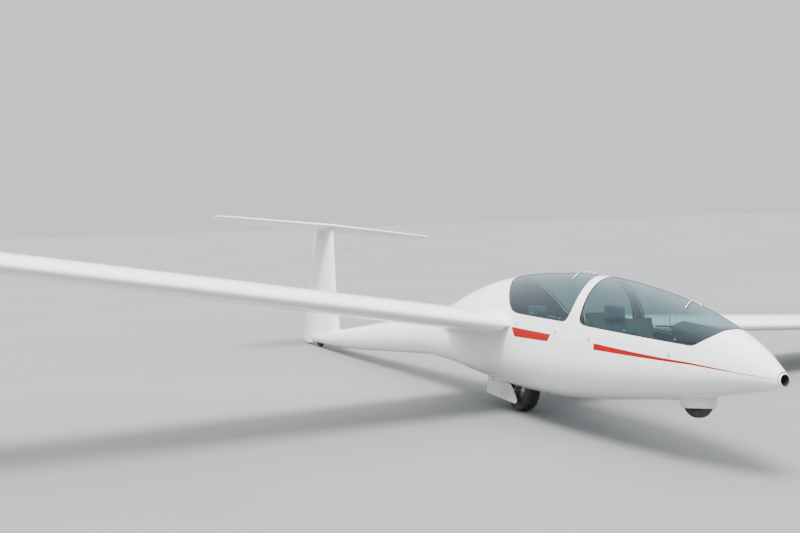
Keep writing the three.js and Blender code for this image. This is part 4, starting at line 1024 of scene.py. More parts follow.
def nose():
    """Rounded white rim with a black inner edge, and the black duct behind it: the black of both is painted shade
    of the opening's dark inside.
    """
    rim = spun([(34, 2.4), (35.5, 0.9), (38, 0.35), (40, 0.2), (41.5, 0.3), (43.6, 2.2), (45.6, 6.5), (46, 13.7),
                (34, 13.7)], (0, 0, 0), 72, axis=0)
    # The rim's inner faces are black: painted shade that widens the dark opening.
    marks = [int(np.hypot(*rim[0][face][:, 1:].T).max() < 40.2) for face in map(list, rim[1])]
    make_object("nose_rim", rim, [GELCOAT, BLACK], node="nose_ring", sharp=40, marks=marks)
    # The duct is black all through, as painted shade inside the hole.
    duct = spun([(33.95, 1.6), (33.1, 2.2), (32.6, 60), (30, 150), (22, 190), (0.1, 196), (0.1, 200), (24, 196),
                 (34, 155), (33.9, 60)], (0, 0, 0), 48, axis=0)
    make_object("nose_duct", duct, BLACK, sharp=40)


tailplane()
fin()
rudder()
probe()
nose()


# Wheels. The tyre's side and the disc are (radius, share of the half width), from one face to the middle.
def wheel(name, tyre, grooves):
    radius = tyre["radius"] * math.cos(math.pi / tyre["sides"]) - 0.2
    half, bead, rim = tyre["width"] / 2, tyre["rim"] + 2, tyre["rim"]
    centre = np.array([tyre["station"], 0, tyre["z"]])
    side_wall = [(bead, -0.6), (bead + 4, -0.8), (radius * 0.66, -0.97), (radius * 0.76, -1.0),
                 (radius * 0.86, -0.95), (radius * 0.94, -0.84), (radius * 0.985, -0.62), (radius, -0.42)]
    disc = [(16, -0.55), (rim * 0.3, -0.56), (rim * 0.36, -0.5), (rim * 0.5, -0.34), (rim * 0.74, -0.28),
            (rim * 0.84, -0.42), (rim * 0.9, -0.62), (rim * 1.03, -0.66), (rim * 1.04, -0.6), (rim, -0.55)]
    treads = []
    for y in (place * half for place in grooves):
        width = half * 0.03
        treads += [(radius, y - 2 * width), (radius - 4, y - width), (radius - 4, y + width),
                   (radius, y + 2 * width)]

    def both_sides(rows, between=()):
        return [(r, w * half) for r, w in rows] + list(between) + [(r, -w * half) for r, w in reversed(rows)]

    make_object(f"{name}_tread", spun(both_sides(side_wall, treads), centre, 96), TYRE, f"{name}_wheel",
                f"{name}_tyre", 32)
    parts = [spun(both_sides(disc), centre, 72)]
    for side in (-1, 1):
        for bolt in arc(centre, rim * 0.62, circle(6)):
            parts.append(rod(*(bolt + [0, side * half * w, 0] for w in (0.2, 0.4)), rim * 0.055, 6))
    make_object(f"{name}_disc", joined(parts), ALLOY, f"{name}_wheel", f"{name}_rim", 35)


wheel("main", MAIN_TYRE, (-0.26, 0.0, 0.26))
wheel("nose", NOSE_TYRE, (-0.2, 0.2))
wheel("tail", TAIL_TYRE, (0.0,))


# Small shapes for fittings
def plate(outline, low, high, bevel=1.5, radius=12.0):
    """A flat plate across the aircraft with round corners and softened edges, between two sideways places."""
    smooth = rounded(outline, radius, 5)
    middle = smooth.mean(axis=0)
    reach = np.linalg.norm(smooth - middle, axis=1)[:, None]
    shrunk = middle + (smooth - middle) * (1 - bevel / reach)
    rings = []
    for y, flat in ((low, shrunk), (low + bevel, smooth), (high - bevel, smooth), (high, shrunk)):
        rings.append(np.column_stack([flat[:, 0], np.full(len(flat), y), flat[:, 1]]))
    return lofted(rings)


def knob(centre, radius, axis=(0, 1, 0), length=None, sides=20):
    """A round-ended button or grip along a direction."""
    centre, axis = np.asarray(centre, float), np.asarray(axis, float)
    axis = axis / np.linalg.norm(axis)
    length = length or 2 * radius
    turn = np.linspace(0, math.pi, 11)
    offsets = -np.cos(turn) * length / 2
    radii = radius * np.maximum(np.sin(turn) ** 0.6, 0.02)
    return tube(centre + offsets[:, None] * axis, radii, sides)


# Cockpits. A seat's own surface is measured along its profile, sideways, and up from it.
SEATS = dict(
    front=[(960, -60), (1120, -128), (1210, -132), (1340, -138), (1430, -100), (1560, 110), (1668, 330)],
    rear=[(2010, -70), (2140, -126), (2240, -132), (2370, -138), (2470, -100), (2620, 130), (2740, 340)])


def along_profile(points, count=240):
    curve = curve_through(points, count)
    run = np.concatenate([[0], np.cumsum(np.linalg.norm(np.diff(curve, axis=0), axis=1))])
    slope = np.gradient(curve, axis=0)
    slope /= np.linalg.norm(slope, axis=1)[:, None]
    lift = np.stack([-slope[:, 1], slope[:, 0]], -1)

    def place(length, y, height):
        length, y, height = np.broadcast_arrays(*(np.asarray(value, float) for value in (length, y, height)))
        base = [np.interp(length, run, curve[:, i]) for i in range(2)]
        up = [np.interp(length, run, lift[:, i]) for i in range(2)]
        return np.stack([base[0] + up[0] * height, y, base[1] + up[1] * height], -1)

    return place, run[-1], lambda station: float(np.interp(station, curve[:, 0], run))


def cabin_half(stations, heights, inset=SKIN + 4):
    return body_half(stations, np.minimum(heights, SILL_HEIGHT + SILL_SLOPE * stations - 6), inset)


def upward(place, length, height):
    """The way up from a seat's surface, by a height."""
    return place(length, 0, height) - place(length, 0, 0.0)


def seat_shell(name, place, length, depth=6.0):
    """Moulded pan and back: dished in the middle, turned up into consoles along the cabin's sides."""
    lengths, across = np.linspace(4, length - 2, 70), np.linspace(-1, 1, 41)
    rows = []
    for run in lengths:
        middle = place(run, 0, 0)
        half = cabin_half(middle[0], middle[2] + 40) - 6
        rise = 60.0 * np.clip((np.abs(across) * half - 205) / 90, 0, 1) ** 1.5
        rows.append(place(run, across * half, rise))
    top = np.array(rows)
    y = top[..., 1]
    top[..., 1] = np.sign(y) * np.minimum(np.abs(y), cabin_half(top[..., 0], top[..., 2]) - 3)
    low = top - upward(place, lengths[:, None], depth)
    make_object(f"seat_{name}_shell", lofted(np.concatenate([top, low[:, ::-1]], axis=1)), LINER,
                node=f"seat_{name}", sharp=50)


def settled(work):
    """Applies an object's modifiers to its own mesh and returns it."""
    applied = bpy.data.meshes.new_from_object(work.evaluated_get(bpy.context.evaluated_depsgraph_get()))
    work.modifiers.clear()
    work.data = applied
    return applied


def vertex_places(mesh):
    flat = np.empty(len(mesh.vertices) * 3)
    mesh.vertices.foreach_get("co", flat)
    return flat.reshape(-1, 3) / MM


# Padding: mesh size of the slab in metres, and steps of its cloth simulation
VOXEL, CLOTH_STEPS = 0.006, 20


def inflated(work, cap):
    """Swells an object by a short cloth simulation under pressure, by a capped distance in millimetres."""
    before = vertex_places(work.data)
    cloth = work.modifiers.new("cloth", "CLOTH")
    cloth.settings.quality = 5
    cloth.settings.tension_stiffness = cloth.settings.compression_stiffness = 12
    cloth.settings.use_pressure = True
    cloth.settings.uniform_pressure_force = 4
    cloth.settings.effector_weights.gravity = 0
    cloth.collision_settings.use_collision = False
    cloth.point_cache.frame_start, cloth.point_cache.frame_end = 1, CLOTH_STEPS
    for step in range(1, CLOTH_STEPS + 1):
        bpy.context.scene.frame_set(step)
    shift = vertex_places(settled(work)) - before
    bpy.context.scene.frame_set(1)
    size = np.linalg.norm(shift, axis=1)[:, None]
    shift *= np.minimum(1, cap / np.maximum(size, 1e-9))
    work.data.vertices.foreach_set("co", ((before + shift) * MM).ravel())


def pillow(length, width, thick, seams_along=(), seams_across=(), cap=9.0):
    """The shape of a padded slab lying flat, inflated by cloth simulation and sewn afterwards."""
    box = bmesh.new()
    bmesh.ops.create_cube(box, size=1.0)
    bmesh.ops.subdivide_edges(box, edges=box.edges, cuts=9, use_grid_fill=True)
    half = np.array([length, width, thick]) / 2 - 4
    corner = min(thick * 0.42, 17.0)
    for vertex in box.verts:
        spot = np.array(vertex.co) * 2 * half
        core = np.clip(spot, -half + corner, half - corner)
        away = spot - core
        size = np.linalg.norm(away)
        vertex.co = Vector((core + (away / size * corner if size > 1e-6 else 0)) * MM)
    mesh = bpy.data.meshes.new("pillow_work")
    box.to_mesh(mesh)
    box.free()
    work = bpy.data.objects.new("pillow_work", mesh)
    bpy.context.scene.collection.objects.link(work)
    remesh = work.modifiers.new("remesh", "REMESH")
    remesh.mode, remesh.voxel_size = "VOXEL", VOXEL
    settled(work)
    inflated(work, cap)
    soft = work.modifiers.new("soft", "SUBSURF")
    soft.levels = soft.render_levels = 1
    final = settled(work)
    points = vertex_places(final)
    faces = [tuple(polygon.vertices) for polygon in final.polygons]
    bpy.data.objects.remove(work)
    sunk = sum(7.0 * np.exp(-((points[:, axis] - seam) / 5.0) ** 2)
               for axis, seams in ((1, seams_along), (0, seams_across)) for seam in seams)
    share = np.clip((points[:, 2] + thick / 2) / thick, 0, 1)
    points[:, 2] -= sunk * share * (points[:, 2] > 0)
    points[:, 2] = np.maximum(points[:, 2], -thick / 2 + 2) + thick / 2
    return points, faces


def cushion(name, node, place, start, end, half, thick, seams_along, seams_across):
    """A cushion laid on a seat's surface between two lengths along it. Returns its top's height at a point."""
    points, faces = pillow(end - start, 2 * half, thick, seams_along, seams_across)
    points += [(start + end) / 2, 0, 1.5]
    bent = place(*points.T)
    piece = make_object(name, (bent, outward(bent, faces)), CLOTH)
    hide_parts(node)

    def top(length, y):
        near = np.hypot(points[:, 0] - length, points[:, 1] - y) < 9
        return points[near, 2].max() if near.any() else 0.0
    return top


def piping(place, start, end, half, height):
    """Sewn cord around a cushion's upper edge."""
    ring = rounded([(start, -half), (end, -half), (end, half), (start, half)], 30, 8)
    ring = np.concatenate([ring, ring[:1]])
    return tube(place(ring[:, 0], ring[:, 1], height), 2.6, 8)


def webbing(path, width, normals, thick=2.2):
    """A flat strap along a path, turned so that it lies square to a direction or to one for each point."""
    path = np.asarray(path, float)
    normals = np.broadcast_to(np.asarray(normals, float), path.shape)
    way = np.gradient(path, axis=0)
    across = np.cross(way, normals)
    across /= np.linalg.norm(across, axis=1)[:, None]
    up = np.cross(across, way)
    up /= np.linalg.norm(up, axis=1)[:, None]
    up *= np.sign(np.sum(up * normals, axis=1))[:, None]
    share = np.array([-1, -0.96, 0.96, 1, 0.96, -0.96])[:, None] * width / 2
    level = np.array([0, 0.5, 0.5, 0, -0.5, -0.5])[:, None] * thick
    return lofted([point + share * side + level * rise for point, side, rise in zip(path, across, up)])


def harness(name, place, tops, hip, shoulder):
    """Four-point harness: two shoulder and two lap straps that meet in a round buckle."""
    def height(length, y):
        return max(top(length, y) for top in tops) + 2.0

    groups = []
    for side in (-1, 1):
        for width, spots in ((44, [(hip, 16), (hip + 120, 52), (hip + 300, 78), (shoulder, 84)]),
                             (48, [(hip, 14), (hip + 12, 90), (hip + 34, 186)])):
            route = curve_through([(length, side * y) for length, y in spots], 46)
            lifts = np.array([height(length, y) for length, y in route])
            smooth = np.convolve(np.pad(lifts, 4, mode="edge"), np.ones(9) / 9, "valid")
            path = place(route[:, 0], route[:, 1], np.maximum(lifts, smooth))
            normals = upward(place, route[:, 0], 10.0)
            groups.append((WEBBING, webbing(path, width, normals)))
        groups += [(STEEL, knob(path[at], 13, normals[at], 7, 12)) for at in (14, 30)]
    centre, up = place(hip, 0, height(hip, 0) + 4), upward(place, hip, 30.0)
    groups += [(STEEL, knob(centre, 27, up, 15, 28)), (KNOB_RED, knob(centre + up / 30 * 7, 17, up, 8, 24))]
    painted(f"harness_{name}", groups, sharp=40)


# Headrest: its size, how far it stands behind and above the seat's end, and its lean as (aft, up)
HEAD = dict(length=132, width=206, thick=50, behind=22, rise=30.0, lean=(22, 130))


def headrest(name, station, z):
    """Padded headrest on two steel posts, above the end of a seat's profile."""
    points, faces = pillow(HEAD["length"], HEAD["width"], HEAD["thick"], cap=8.0)
    aft, up = np.array(HEAD["lean"]) / math.hypot(*HEAD["lean"])
    run = points[:, 0] + HEAD["length"] / 2
    spots = np.stack([station + HEAD["behind"] + aft * run - up * points[:, 2], points[:, 1],
                      z + HEAD["rise"] + up * run + aft * points[:, 2]], -1)
    head = make_object(f"headrest_{name}_pad", (spots, outward(spots, faces)), CLOTH)
    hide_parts(f"headrest_{name}")
    posts = [tube([(station - 2, y, z - 40), (station + 4, y, z + 10),
                   (station + 12, y, z + HEAD["rise"] + 30)], 5.5, 14) for y in (-50, 50)]
    make_object(f"headrest_{name}_posts", joined(posts), STEEL)


def seat(name):
    points = SEATS[name]
    place, length, at = along_profile(points)
    seat_shell(name, *along_profile(points + [(points[-1][0] + 20, points[-1][1] + 66)])[:2])
    lip, bend, back = (at(points[i][0]) for i in (2, 4, 5))
    back_end = back + 0.7 * (length - back)
    node = f"cushion_{name}"
    tops = [cushion(f"seat_{name}_cushion", node, place, lip, bend + 6, 178, 46, (-62, 62), (-40,)),
            cushion(f"back_{name}_cushion", node, place, bend + 10, back_end, 172, 40, (-60, 60), (30, 110))]
    cords = [piping(place, lip + 4, bend + 2, 174, 34), piping(place, bend + 14, back_end - 4, 168, 30)]
    make_object(f"piping_{name}", joined(cords), BLACK)
    harness(name, place, tops, bend - 60, length - 6)
    headrest(name, *points[-1])


def dial(centre, radius, turn, marks=10):
    """A round instrument facing aft: bezel, glass-black face, scale marks and a needle."""
    ring = spun([(radius, 0), (radius, 5), (radius * 0.94, 7.5), (radius * 0.86, 7.5), (radius * 0.82, 4),
                 (radius * 0.82, 0)], centre, 40, axis=0)
    face = spun([(0.05, 0), (0.05, 3.2), (radius * 0.84, 3.2), (radius * 0.84, 0)], centre, 40, axis=0)

    def bar(angle, inner, outer, wide):
        along = np.array([0, math.sin(angle), math.cos(angle)])
        across = np.array([0, math.cos(angle), -math.sin(angle)])
        base = np.array(centre, float) + [3.4, 0, 0]
        return lofted([[base + along * reach * radius + across * s * width + [d, 0, 0]
                        for s, d in ((-1, 0), (1, 0), (1, 0.6), (-1, 0.6))]
                       for reach, width in ((inner, wide), (outer, wide * 0.6))])
    scale = [(WHITE_MARK, bar(2 * math.pi * i / marks, 0.62, 0.76, 0.9)) for i in range(marks)]
    return [(BLACK, ring), (DIAL_FACE, face), *scale, (WHITE_MARK, bar(turn, -0.12, 0.6, 1.4))]


# Instrument panels: hood sections are station, half width, and the heights of side edge, shoulder and ridge.
PANELS = dict(
    front=dict(station=885, low=60, half=99, pedestal=(908, 943), foot=-123.4,
               hood=[(909, 105, 225, 335, 377), (640, 135, 215, 285, 338), (450, 95, 235, 262, 300)],
               dials=[(-50, 285, 38), (50, 285, 38), (0, 330, 18), (-50, 196, 38), (50, 196, 38), (-52, 120, 28),
                      (52, 120, 28)]),
    rear=dict(station=1868, low=180, half=195, pedestal=(1835, 1882), foot=-135.1,
              hood=[(1900, 212, 396, 418, 432), (1820, 212, 398, 422, 436), (1732, 212, 352, 378, 392)],
              dials=[(-140, 350, 38), (-52, 356, 38), (52, 356, 38), (140, 350, 38), (-96, 262, 38), (0, 262, 28),
                     (96, 262, 38)]))


def upright(outline, station):
    """An outline of (y, z) at a station, as points."""
    return np.column_stack([np.full(len(outline), station), outline])


def hood(sections):
    """The thin cover over a panel, from sections of (station, half width, edge, shoulder, ridge)."""
    sections = np.array(sections[::-1], float)
    rings = []
    for station in np.linspace(sections[-1, 0], sections[0, 0], 26):
        half, edge, high, top = (np.interp(station, sections[:, 0], sections[:, i]) for i in range(1, 5))
        corners = [(-half, edge - 60), (-half, high), (0, top), (half, high), (half, edge - 60)]
        outer = rounded(corners, 26, 6)[5:25]
        outer[:, 1] = np.maximum(outer[:, 1], edge)
        inner = outer * [1 - 5.0 / half, 1] - np.array([0, 5.0]) * (outer[:, 1:] > edge + 1)
        rings.append(upright(np.concatenate([outer, inner[::-1]]), station))
    return lofted(rings)


def instrument_panel(name):
    layout = PANELS[name]
    station, half, low = layout["station"], layout["half"], layout["low"]
    shoulder, ridge = layout["hood"][0][3:]
    corners = [(-half, low), (half, low), (half, shoulder - 6), (0, ridge - 9), (-half, shoulder - 6)]
    board = rounded(corners, 14, 5)
    groups = [(HOOD, hood(layout["hood"])),
              (BLACK, lofted([upright(board, station + step) for step in (0.0, 9.0)]))]
    for number, (y, z, radius) in enumerate(layout["dials"]):
        groups += dial((station + 9, y, z), radius, 0.7 + 1.3 * number)
    front, rear = layout["pedestal"]
    post = rounded([(front, -50), (rear, -46), (rear, 46), (front, 50)], 8, 4)
    ends = [np.column_stack([post, np.full(16, z)]) for z in (layout["foot"], low + 10)]
    groups.append((BLACK, lofted(ends)))
    for y, finish in ((-24, KNOB_BLUE), (0, WHITE_MARK), (24, KNOB_RED)):
        groups += [(STEEL, rod((rear - 2, y, 20), (rear + 18, y, 20), 3, 10)),
                   (finish, knob((rear + 22, y, 20), 7.5, (1, 0, 0), 12))]
    groups += [(STEEL, knob((station + 9.5, y, z), 3.6, (1, 0, 0), 3, 10))
               for z in (low + 9, shoulder - 24) for y in (9 - half, half - 9)]
    painted(f"panel_{name}_unit", groups, node=f"panel_{name}", sharp=32)


def stick(name, station, z, height=400.0):
    """Control column: bent tube, ribbed rubber boot and moulded grip with a trigger."""
    def run(spots, count):
        return curve_through([(station + s, 0, z + h) for s, h in spots], count)
    path = run([(0, 10), (-12, height * 0.3), (-18, height * 0.55), (25, height - 90)], 26)
    share = np.linspace(0, 1, 19)
    boot = np.column_stack([station - 3 * share, 0 * share, z + 2 + 62 * share])
    ribs = 36 * (1 - share) ** 0.8 + 11 + 2.5 * (np.arange(19) % 2)
    grip = run([(20, height - 100), (30, height - 55), (35, height - 20), (38, height)], 22)
    t = np.linspace(0, 1, 22)
    swell = 13.5 + 2.6 * np.cos(t * 4 * math.pi) + 3.0 * t
    swell[0], swell[-2], swell[-1] = 10, 13, 6
    groups = [(STEEL, tube(path, 8.5, 16)), (RUBBER, tube(boot, ribs, 28)), (BLACK, tube(grip, swell, 22)),
              (KNOB_RED, knob((station + 20, 0, z + height - 16), 5.5, (-1, 0, 0.2), 12))]
    painted(f"stick_{name}_column", groups, node=f"stick_{name}", sharp=45)


def pedal_pair(name, station, z):
    """Rudder pedals: two ribbed plates on a cross tube, with heel loops."""
    groups = [(STEEL, cross_tube(station, z + 10, 148, 8.5, 16, 9))]
    for side in (-1, 1):
        low, high = sorted((side * 77, side * 143))
        groups.append((ALLOY, plate([(station + 2, z + 4), (station + 10, z + 4), (station - 20, z + 166),
                                     (station - 28, z + 166)], low, high, 1.0, 3.0)))
        for step in np.linspace(0.2, 0.9, 8):
            x, height = station + 10 - 30 * step, z + 4 + 162 * step
            rib = [(x + 1, y, height) for y in np.linspace(low + 6, high - 6, 5)]
            groups.append((RUBBER, tube(rib, 2.4, 8)))
        loop = [(station + s, side * y, z + h)
                for s, y, h in ((-26, 76, 120), (18, 84, 140), (30, 110, 146), (18, 136, 140), (-26, 144, 120))]
        groups.append((RUBBER, webbing(curve_through(loop, 24), 18, (0.01, 0, -1), 2.0)))
    painted(f"pedals_{name}_set", groups, node=f"pedals_{name}")


def cross_tube(station, z, half, radius, sides, count=5):
    return tube([(station, y, z) for y in np.linspace(-half, half, count)], radius, sides)


for cockpit in ("front", "rear"):
    seat(cockpit)
    instrument_panel(cockpit)
stick("front", 1160, -128)
stick("rear", 2190, -126.5)
pedal_pair("front", 548, -92.4)
pedal_pair("rear", 1700, -145.3)


# Undercarriage
def belly_height(stations, y):
    """Height of the fuselage's underside at a sideways place."""
    keel, _, half, wide, _, below = body_row(stations)
    share = np.clip(np.abs(y) / half, 0, 1)
    return wide - (wide - keel) * (1 - share ** below) ** (1 / below)


# Legs: radius of the axle, how far the head leans aft, then the arms' clearance, thickness and half widths
LEGS = dict(main=dict(axle=14, lean=300, clear=12, thick=10, foot=24, head=40),
            nose=dict(axle=10, lean=100, clear=5, thick=5, foot=16, head=30))


def leg(name, tyre, bay):
    """Sprung fork: two arms with bosses at the axle, cross tubes, nuts and a damper up to the bay's roof."""
    axle, lean, clear, thick, foot, head = LEGS[name].values()
    station, z, top = tyre["station"], tyre["z"], bay["top"] - 0.5
    face, rear = tyre["width"] / 2 + clear, station + lean
    outer = face + thick
    outline = [(station - foot, z - foot), (station + foot, z - foot), (rear + head, top), (rear - head, top)]
    groups = []
    for side in (-1, 1):
        boss = [(station, side * y, z) for y in (face - 2, face + thick / 2, outer + 6)]
        upper, lower = np.array([(rear - 10, side * (face - 12), top - 30),
                                 (station + 12, side * (face - 6), z + foot)])
        damper = [upper * (1 - t) + lower * t for t in (0, 0.3, 0.5, 0.52, 0.8, 1)]
        groups += [(STEEL, plate(outline, *sorted((side * face, side * outer)), 1.2, foot * 0.9)),
                   (STEEL, tube(boss, axle * 1.5, 6)),
                   (ALLOY, knob((station, side * (outer + 7), z), axle, (0, 1, 0), 8, 18)),
                   (ALLOY, tube(damper, np.array([1.0, 1.0, 1.0, 0.55, 0.55, 0.55]) * axle * 0.7, 14))]
    groups += [(STEEL, cross_tube(station, z, outer, axle - 0.5, 20)),
               (STEEL, cross_tube(rear, top - axle - 6, outer, axle, 20))]
    painted(f"{name}_fork", groups, node=f"{name}_leg")


def gear_door(side, word):
    """Open main-gear door: a moulded plate, a black disc near its rear edge that is painted shade standing for a
    hole, hinge arms and a link.
    """
    outline = [(s, float(belly_height(s, 116)) - 4.0) for s in (3352, 3250, 3150, 3050, 2962)]
    outline += [(2948, -232), (2911, -264), (2880, -307), (2850, -362), (2862, -384), (2890, -388),
                (3360, -323)]
    # The flat black disc on the door is painted shade where a hole would show the dark bay.
    groups = [(DOOR, plate(outline, *sorted((side * 112, side * 119)), 1.4, 9.0)),
              (SEAL, knob((3256, side * 119.2, -196), 9.5, (0, 1, 0), 1.2, 24))]
    for station in (3010, 3300):
        height = float(belly_height(station, 105))
        arm = curve_through([(station, side * 96, height + 26), (station, side * 103, height - 4),
                             (station, side * 110, height - 26)], 14)
        groups.append((STEEL, webbing(arm, 22, (0, side, 0.2), 5.0)))
    link = [(3120, side * 70, -120), (3110, side * 92, -200), (3105, side * 110, -262)]
    rib = [(2905, side * 110.6, -350), (3120, side * 110.6, -318), (3335, side * 110.6, -286)]
    groups += [(STEEL, tube(curve_through(link, 12), 4.0, 12)), (STEEL, knob(link[-1], 8, (0, 1, 0), 9)),
               (DOOR, webbing(curve_through(rib, 20), 16, (0, -side, 0), 4.0))]
    painted(f"gear_door_{word}_panel", groups, node=f"gear_door_{word}")


SKIRT = dict(length=150.0, half=66.0, wall=4.0, top=-150.0, low=-240.0, slant=0.07, roundness=0.6)
FAIRING = fairing_finish(float(to_row([NOSE_TYRE["station"], 0, SKIRT["low"]])[2]))


def nose_fairing():
    """Oblong fairing round the nose wheel: rolled lower edge, screwed flange and a light lip behind it."""
    along, across = (np.sign(value) * np.abs(value) ** SKIRT["roundness"]
                     for value in (np.cos(circle(72)), np.sin(circle(72))))

    def ring(scale, z, slant, margin):
        reach = (SKIRT["length"] * scale - margin) * along
        return np.stack([NOSE_TYRE["station"] + reach, (SKIRT["half"] * scale - margin) * across,
                         z - slant * reach], -1)

    def wall(t, margin, drop=0.0):
        z = SKIRT["top"] + (SKIRT["low"] - SKIRT["top"]) * t
        scale = float(np.interp(t, [0, 0.55, 0.8, 1], [1, 0.98, 0.94, 0.88]))
        return ring(scale, z - drop, SKIRT["slant"] * max(0.0, (t - 0.55) / 0.45), margin)

    def on_belly(reach, lift):
        spots = ring(1.0, 0, 0, -reach)
        spots[:, 2] = belly_height(spots[:, 0], spots[:, 1]) + lift
        return spots

    steps = np.linspace(0, 1, 12)
    rings = [wall(t, 0) for t in steps] + [wall(1, 0.9, 1.2), wall(1, 2.2, 1.6), wall(1, 3.4, 1.0)]
    rings += [wall(t, SKIRT["wall"]) for t in steps[::-1]]
    flange = [on_belly(*row) for row in ((-3, 0.2), (6, -2.2), (12, -2.0), (14, -0.6), (14, 4), (-3, 4))]
    screws = [(STEEL, knob(spot, 3.2, (0, 0, 1), 2.4, 10)) for spot in on_belly(8.5, -2.2)[4::8]]
    painted("nose_fairing_shell", [(FAIRING, hoop(rings)), (FAIRING, hoop(flange)), *screws],
            node="nose_wheel_fairing", sharp=40)
    for side, word in reversed(SIDES):
        path = []
        for s in np.linspace(880, 968, 24):
            fold = 2.2 * math.sin(s * 0.31) + 1.4 * math.sin(s * 0.77 + side)
            y = side * (58 - 0.22 * (s - 880) + fold)
            path.append((s, y, float(belly_height(s, y)) - 1.6 - 0.6 * math.sin(s * 0.5)))
        make_object(f"fairing_lip_{word}", webbing(path, 13, (0, 0, -1), 2.0), ALLOY, sharp=40)


def tip_skid(side, word, y=9780.0):
    """Rubber-shod skid under a wing tip."""
    low, lead = blade_ring(WING, y)[:, 2].min(), blade_sizes(WING, y)[0]
    outline = [(lead + 60, low + 12), (lead + 80, low - 6), (lead + 130, low - 22), (lead + 200, low - 22),
               (lead + 270, low - 4), (lead + 288, low + 12)]
    shoe = plate(outline, *sorted((side * (y - 9), side * (y + 9))), 2.0, 26.0)
    screws = [(STEEL, knob((s, side * (y + step), low - 6), 4, (0, 1, 0), 3, 12))
              for s in (lead + 110, lead + 225) for step in (9, -9)]
    painted(f"tip_skid_{word}_shoe", [(RUBBER, shoe), *screws], node=f"tip_skid_{word}", sharp=40)


leg("main", MAIN_TYRE, MAIN_BAY)
leg("nose", NOSE_TYRE, NOSE_BAY)
nose_fairing()
for side, word in SIDES:
    gear_door(side, word)
    tip_skid(side, word)


# Small outside fittings
def on_skin(station, z, side=-1, proud=0.0):
    return np.array([station, side * (float(body_half(station, z)) + proud), z])


# Hinges and latches of the canopies, as (station, height)
HINGE_DOTS = dict(front=((740, 118), (1536, 207)), rear=((1972, 254), (2556, 316)))
LATCHES = dict(front=((756, 228), (1228, 281)), rear=((2010, 372), (2420, 412)))
# White strips on the canopies' crowns, as (station, port, height above the glass)
CROWN_STRIPS = dict(
    front=[(770, -114, 0), (788, -78, 1), (812, -38, 3), (832, -6, 6), (822, 10, 8), (790, 14, 10), (764, 14, 8),
           (752, 14, 0)],
    rear=[(2018, -164, 0), (2032, -128, 1), (2060, -79, 3), (2088, -38, 8), (2092, 0, 12), (2060, 14, 14),
          (2015, 16, 14), (1976, 16, 11), (1962, 16, 0)])


def hinge_line(name, station):
    """The canopy's axis: just outside the sill's most bulged place between the hinges."""
    joint = {joint["name"]: joint for joint in frame["joints"]}[f"canopy_{name}_hinge"]
    axis = TURN.T @ np.array(joint["axis"])
    start = TURN.T @ (np.array(joint["pos_m"]) - ORIGIN)
    step = (-station * MM - start[0]) / axis[0]
    spot = (start + axis * step) / MM
    return np.array([station, spot[1], spot[2]])


def knuckle(start, end, before, after):
    """A length of a hinge's barrel between two places on its axis, with a step aft at each end."""
    return tube([start + [before, 0, 0], (start + end) / 2, end + [after, 0, 0]], 4.4, 14)


def canopy_lever():
    """The front canopy's rail with its grip and two stays, and the cord beside it."""
    rail = [(1336, 298, 339), (1432, 298, 341), (1529, 298, 342)]
    groups = [(BLACK, tube(rail, 6.0, 14)), (BLACK, knob(rail[0], 9, (1, 0, 0), 30))]
    for station in (1350, 1515):
        low = on_skin(station, SILL_HEIGHT + 0.117 * station + 66, 1, -21)
        groups.append((STEEL, tube([low, (low + [station, 298, 338]) / 2, (station, 298, 340)], 3.5, 10)))
    groups.append((BLACK, rod(on_skin(1363, 302, 1, -21), on_skin(1366, 422, 1, -9), 1.8, 8)))
    painted("canopy_front_lever", groups, "canopy_front")


def canopy_fittings(name):
    body = f"canopy_{name}"
    for number, (station, z) in enumerate(HINGE_DOTS[name]):
        front, middle, rear = (hinge_line(name, station + step) for step in (-7.5, 0, 7.5))
        foot = on_skin(station - 5, z, proud=-1.5)
        arm = curve_through([foot, (foot + front) / 2 + [0, -3, -2], front + [2, 0, 0]], 10)
        groups = [(GELCOAT, webbing(arm, 9, (0, -1, 0.3), 3.2)),
                  (SEAL, knob(on_skin(station - 3, z, proud=2.6), 6.2, (0, 1, 0.1), 9.0, 18)),
                  (GELCOAT, knuckle(front, middle, -1, -0.4))]
        painted(f"hinge_{name}_{number}_base", groups)
        high = station + 5
        grip = on_skin(high, SILL_HEIGHT + SILL_SLOPE * high + 15, proud=-2.5)
        leaf = curve_through([grip, (grip + rear) / 2 + [0, -2, 1], rear - [2, 0, 0]], 10)
        groups = [(GELCOAT, webbing(leaf, 9, (0, -1, 0.3), 3.2)), (GELCOAT, knuckle(middle, rear, 0.4, 1))]
        painted(f"hinge_{name}_{number}_leaf", groups, body)
    for number, (station, z) in enumerate(LATCHES[name]):
        groups = []
        for side in (-1, 1):
            root, tip = on_skin(station, z - 6, side, -22), on_skin(station, z + 2, side, -46)
            groups += [(STEEL, rod(root, tip, 3.6, 12)), (WHITE_MARK, knob(tip, 8.5, tip - root, 15, 18))]
        painted(f"latch_{name}_{number}", groups, body)
    if name == "front":
        canopy_lever()
    route = curve_through(CROWN_STRIPS[name], 60)
    lift = 1.2 + route[:, 2]
    _, crown, half, wide, above, _ = body_row(route[:, 0])
    share = np.clip(np.abs(route[:, 1]) / half, 0, 1)
    route[:, 2] = wide + (crown - wide) * (1 - share ** above) ** (1 / above)
    normals = np.stack([0 * lift, route[:, 1] / half, np.ones(60)], -1)
    # edging: a black band laid 6 mm ahead of the white strip's first part, giving a dark line beside it.
    edging = route[:26] + normals[:26] * 0.6 + [-6.0, 0, 0]
    route += normals * lift[:, None]
    groups = [(GELCOAT, webbing(route, 8.0, normals, 3.0)), (SEAL, webbing(edging, 6.0, normals[:26], 1.6))]
    painted(f"canopy_{name}_strip", groups, body, sharp=40)


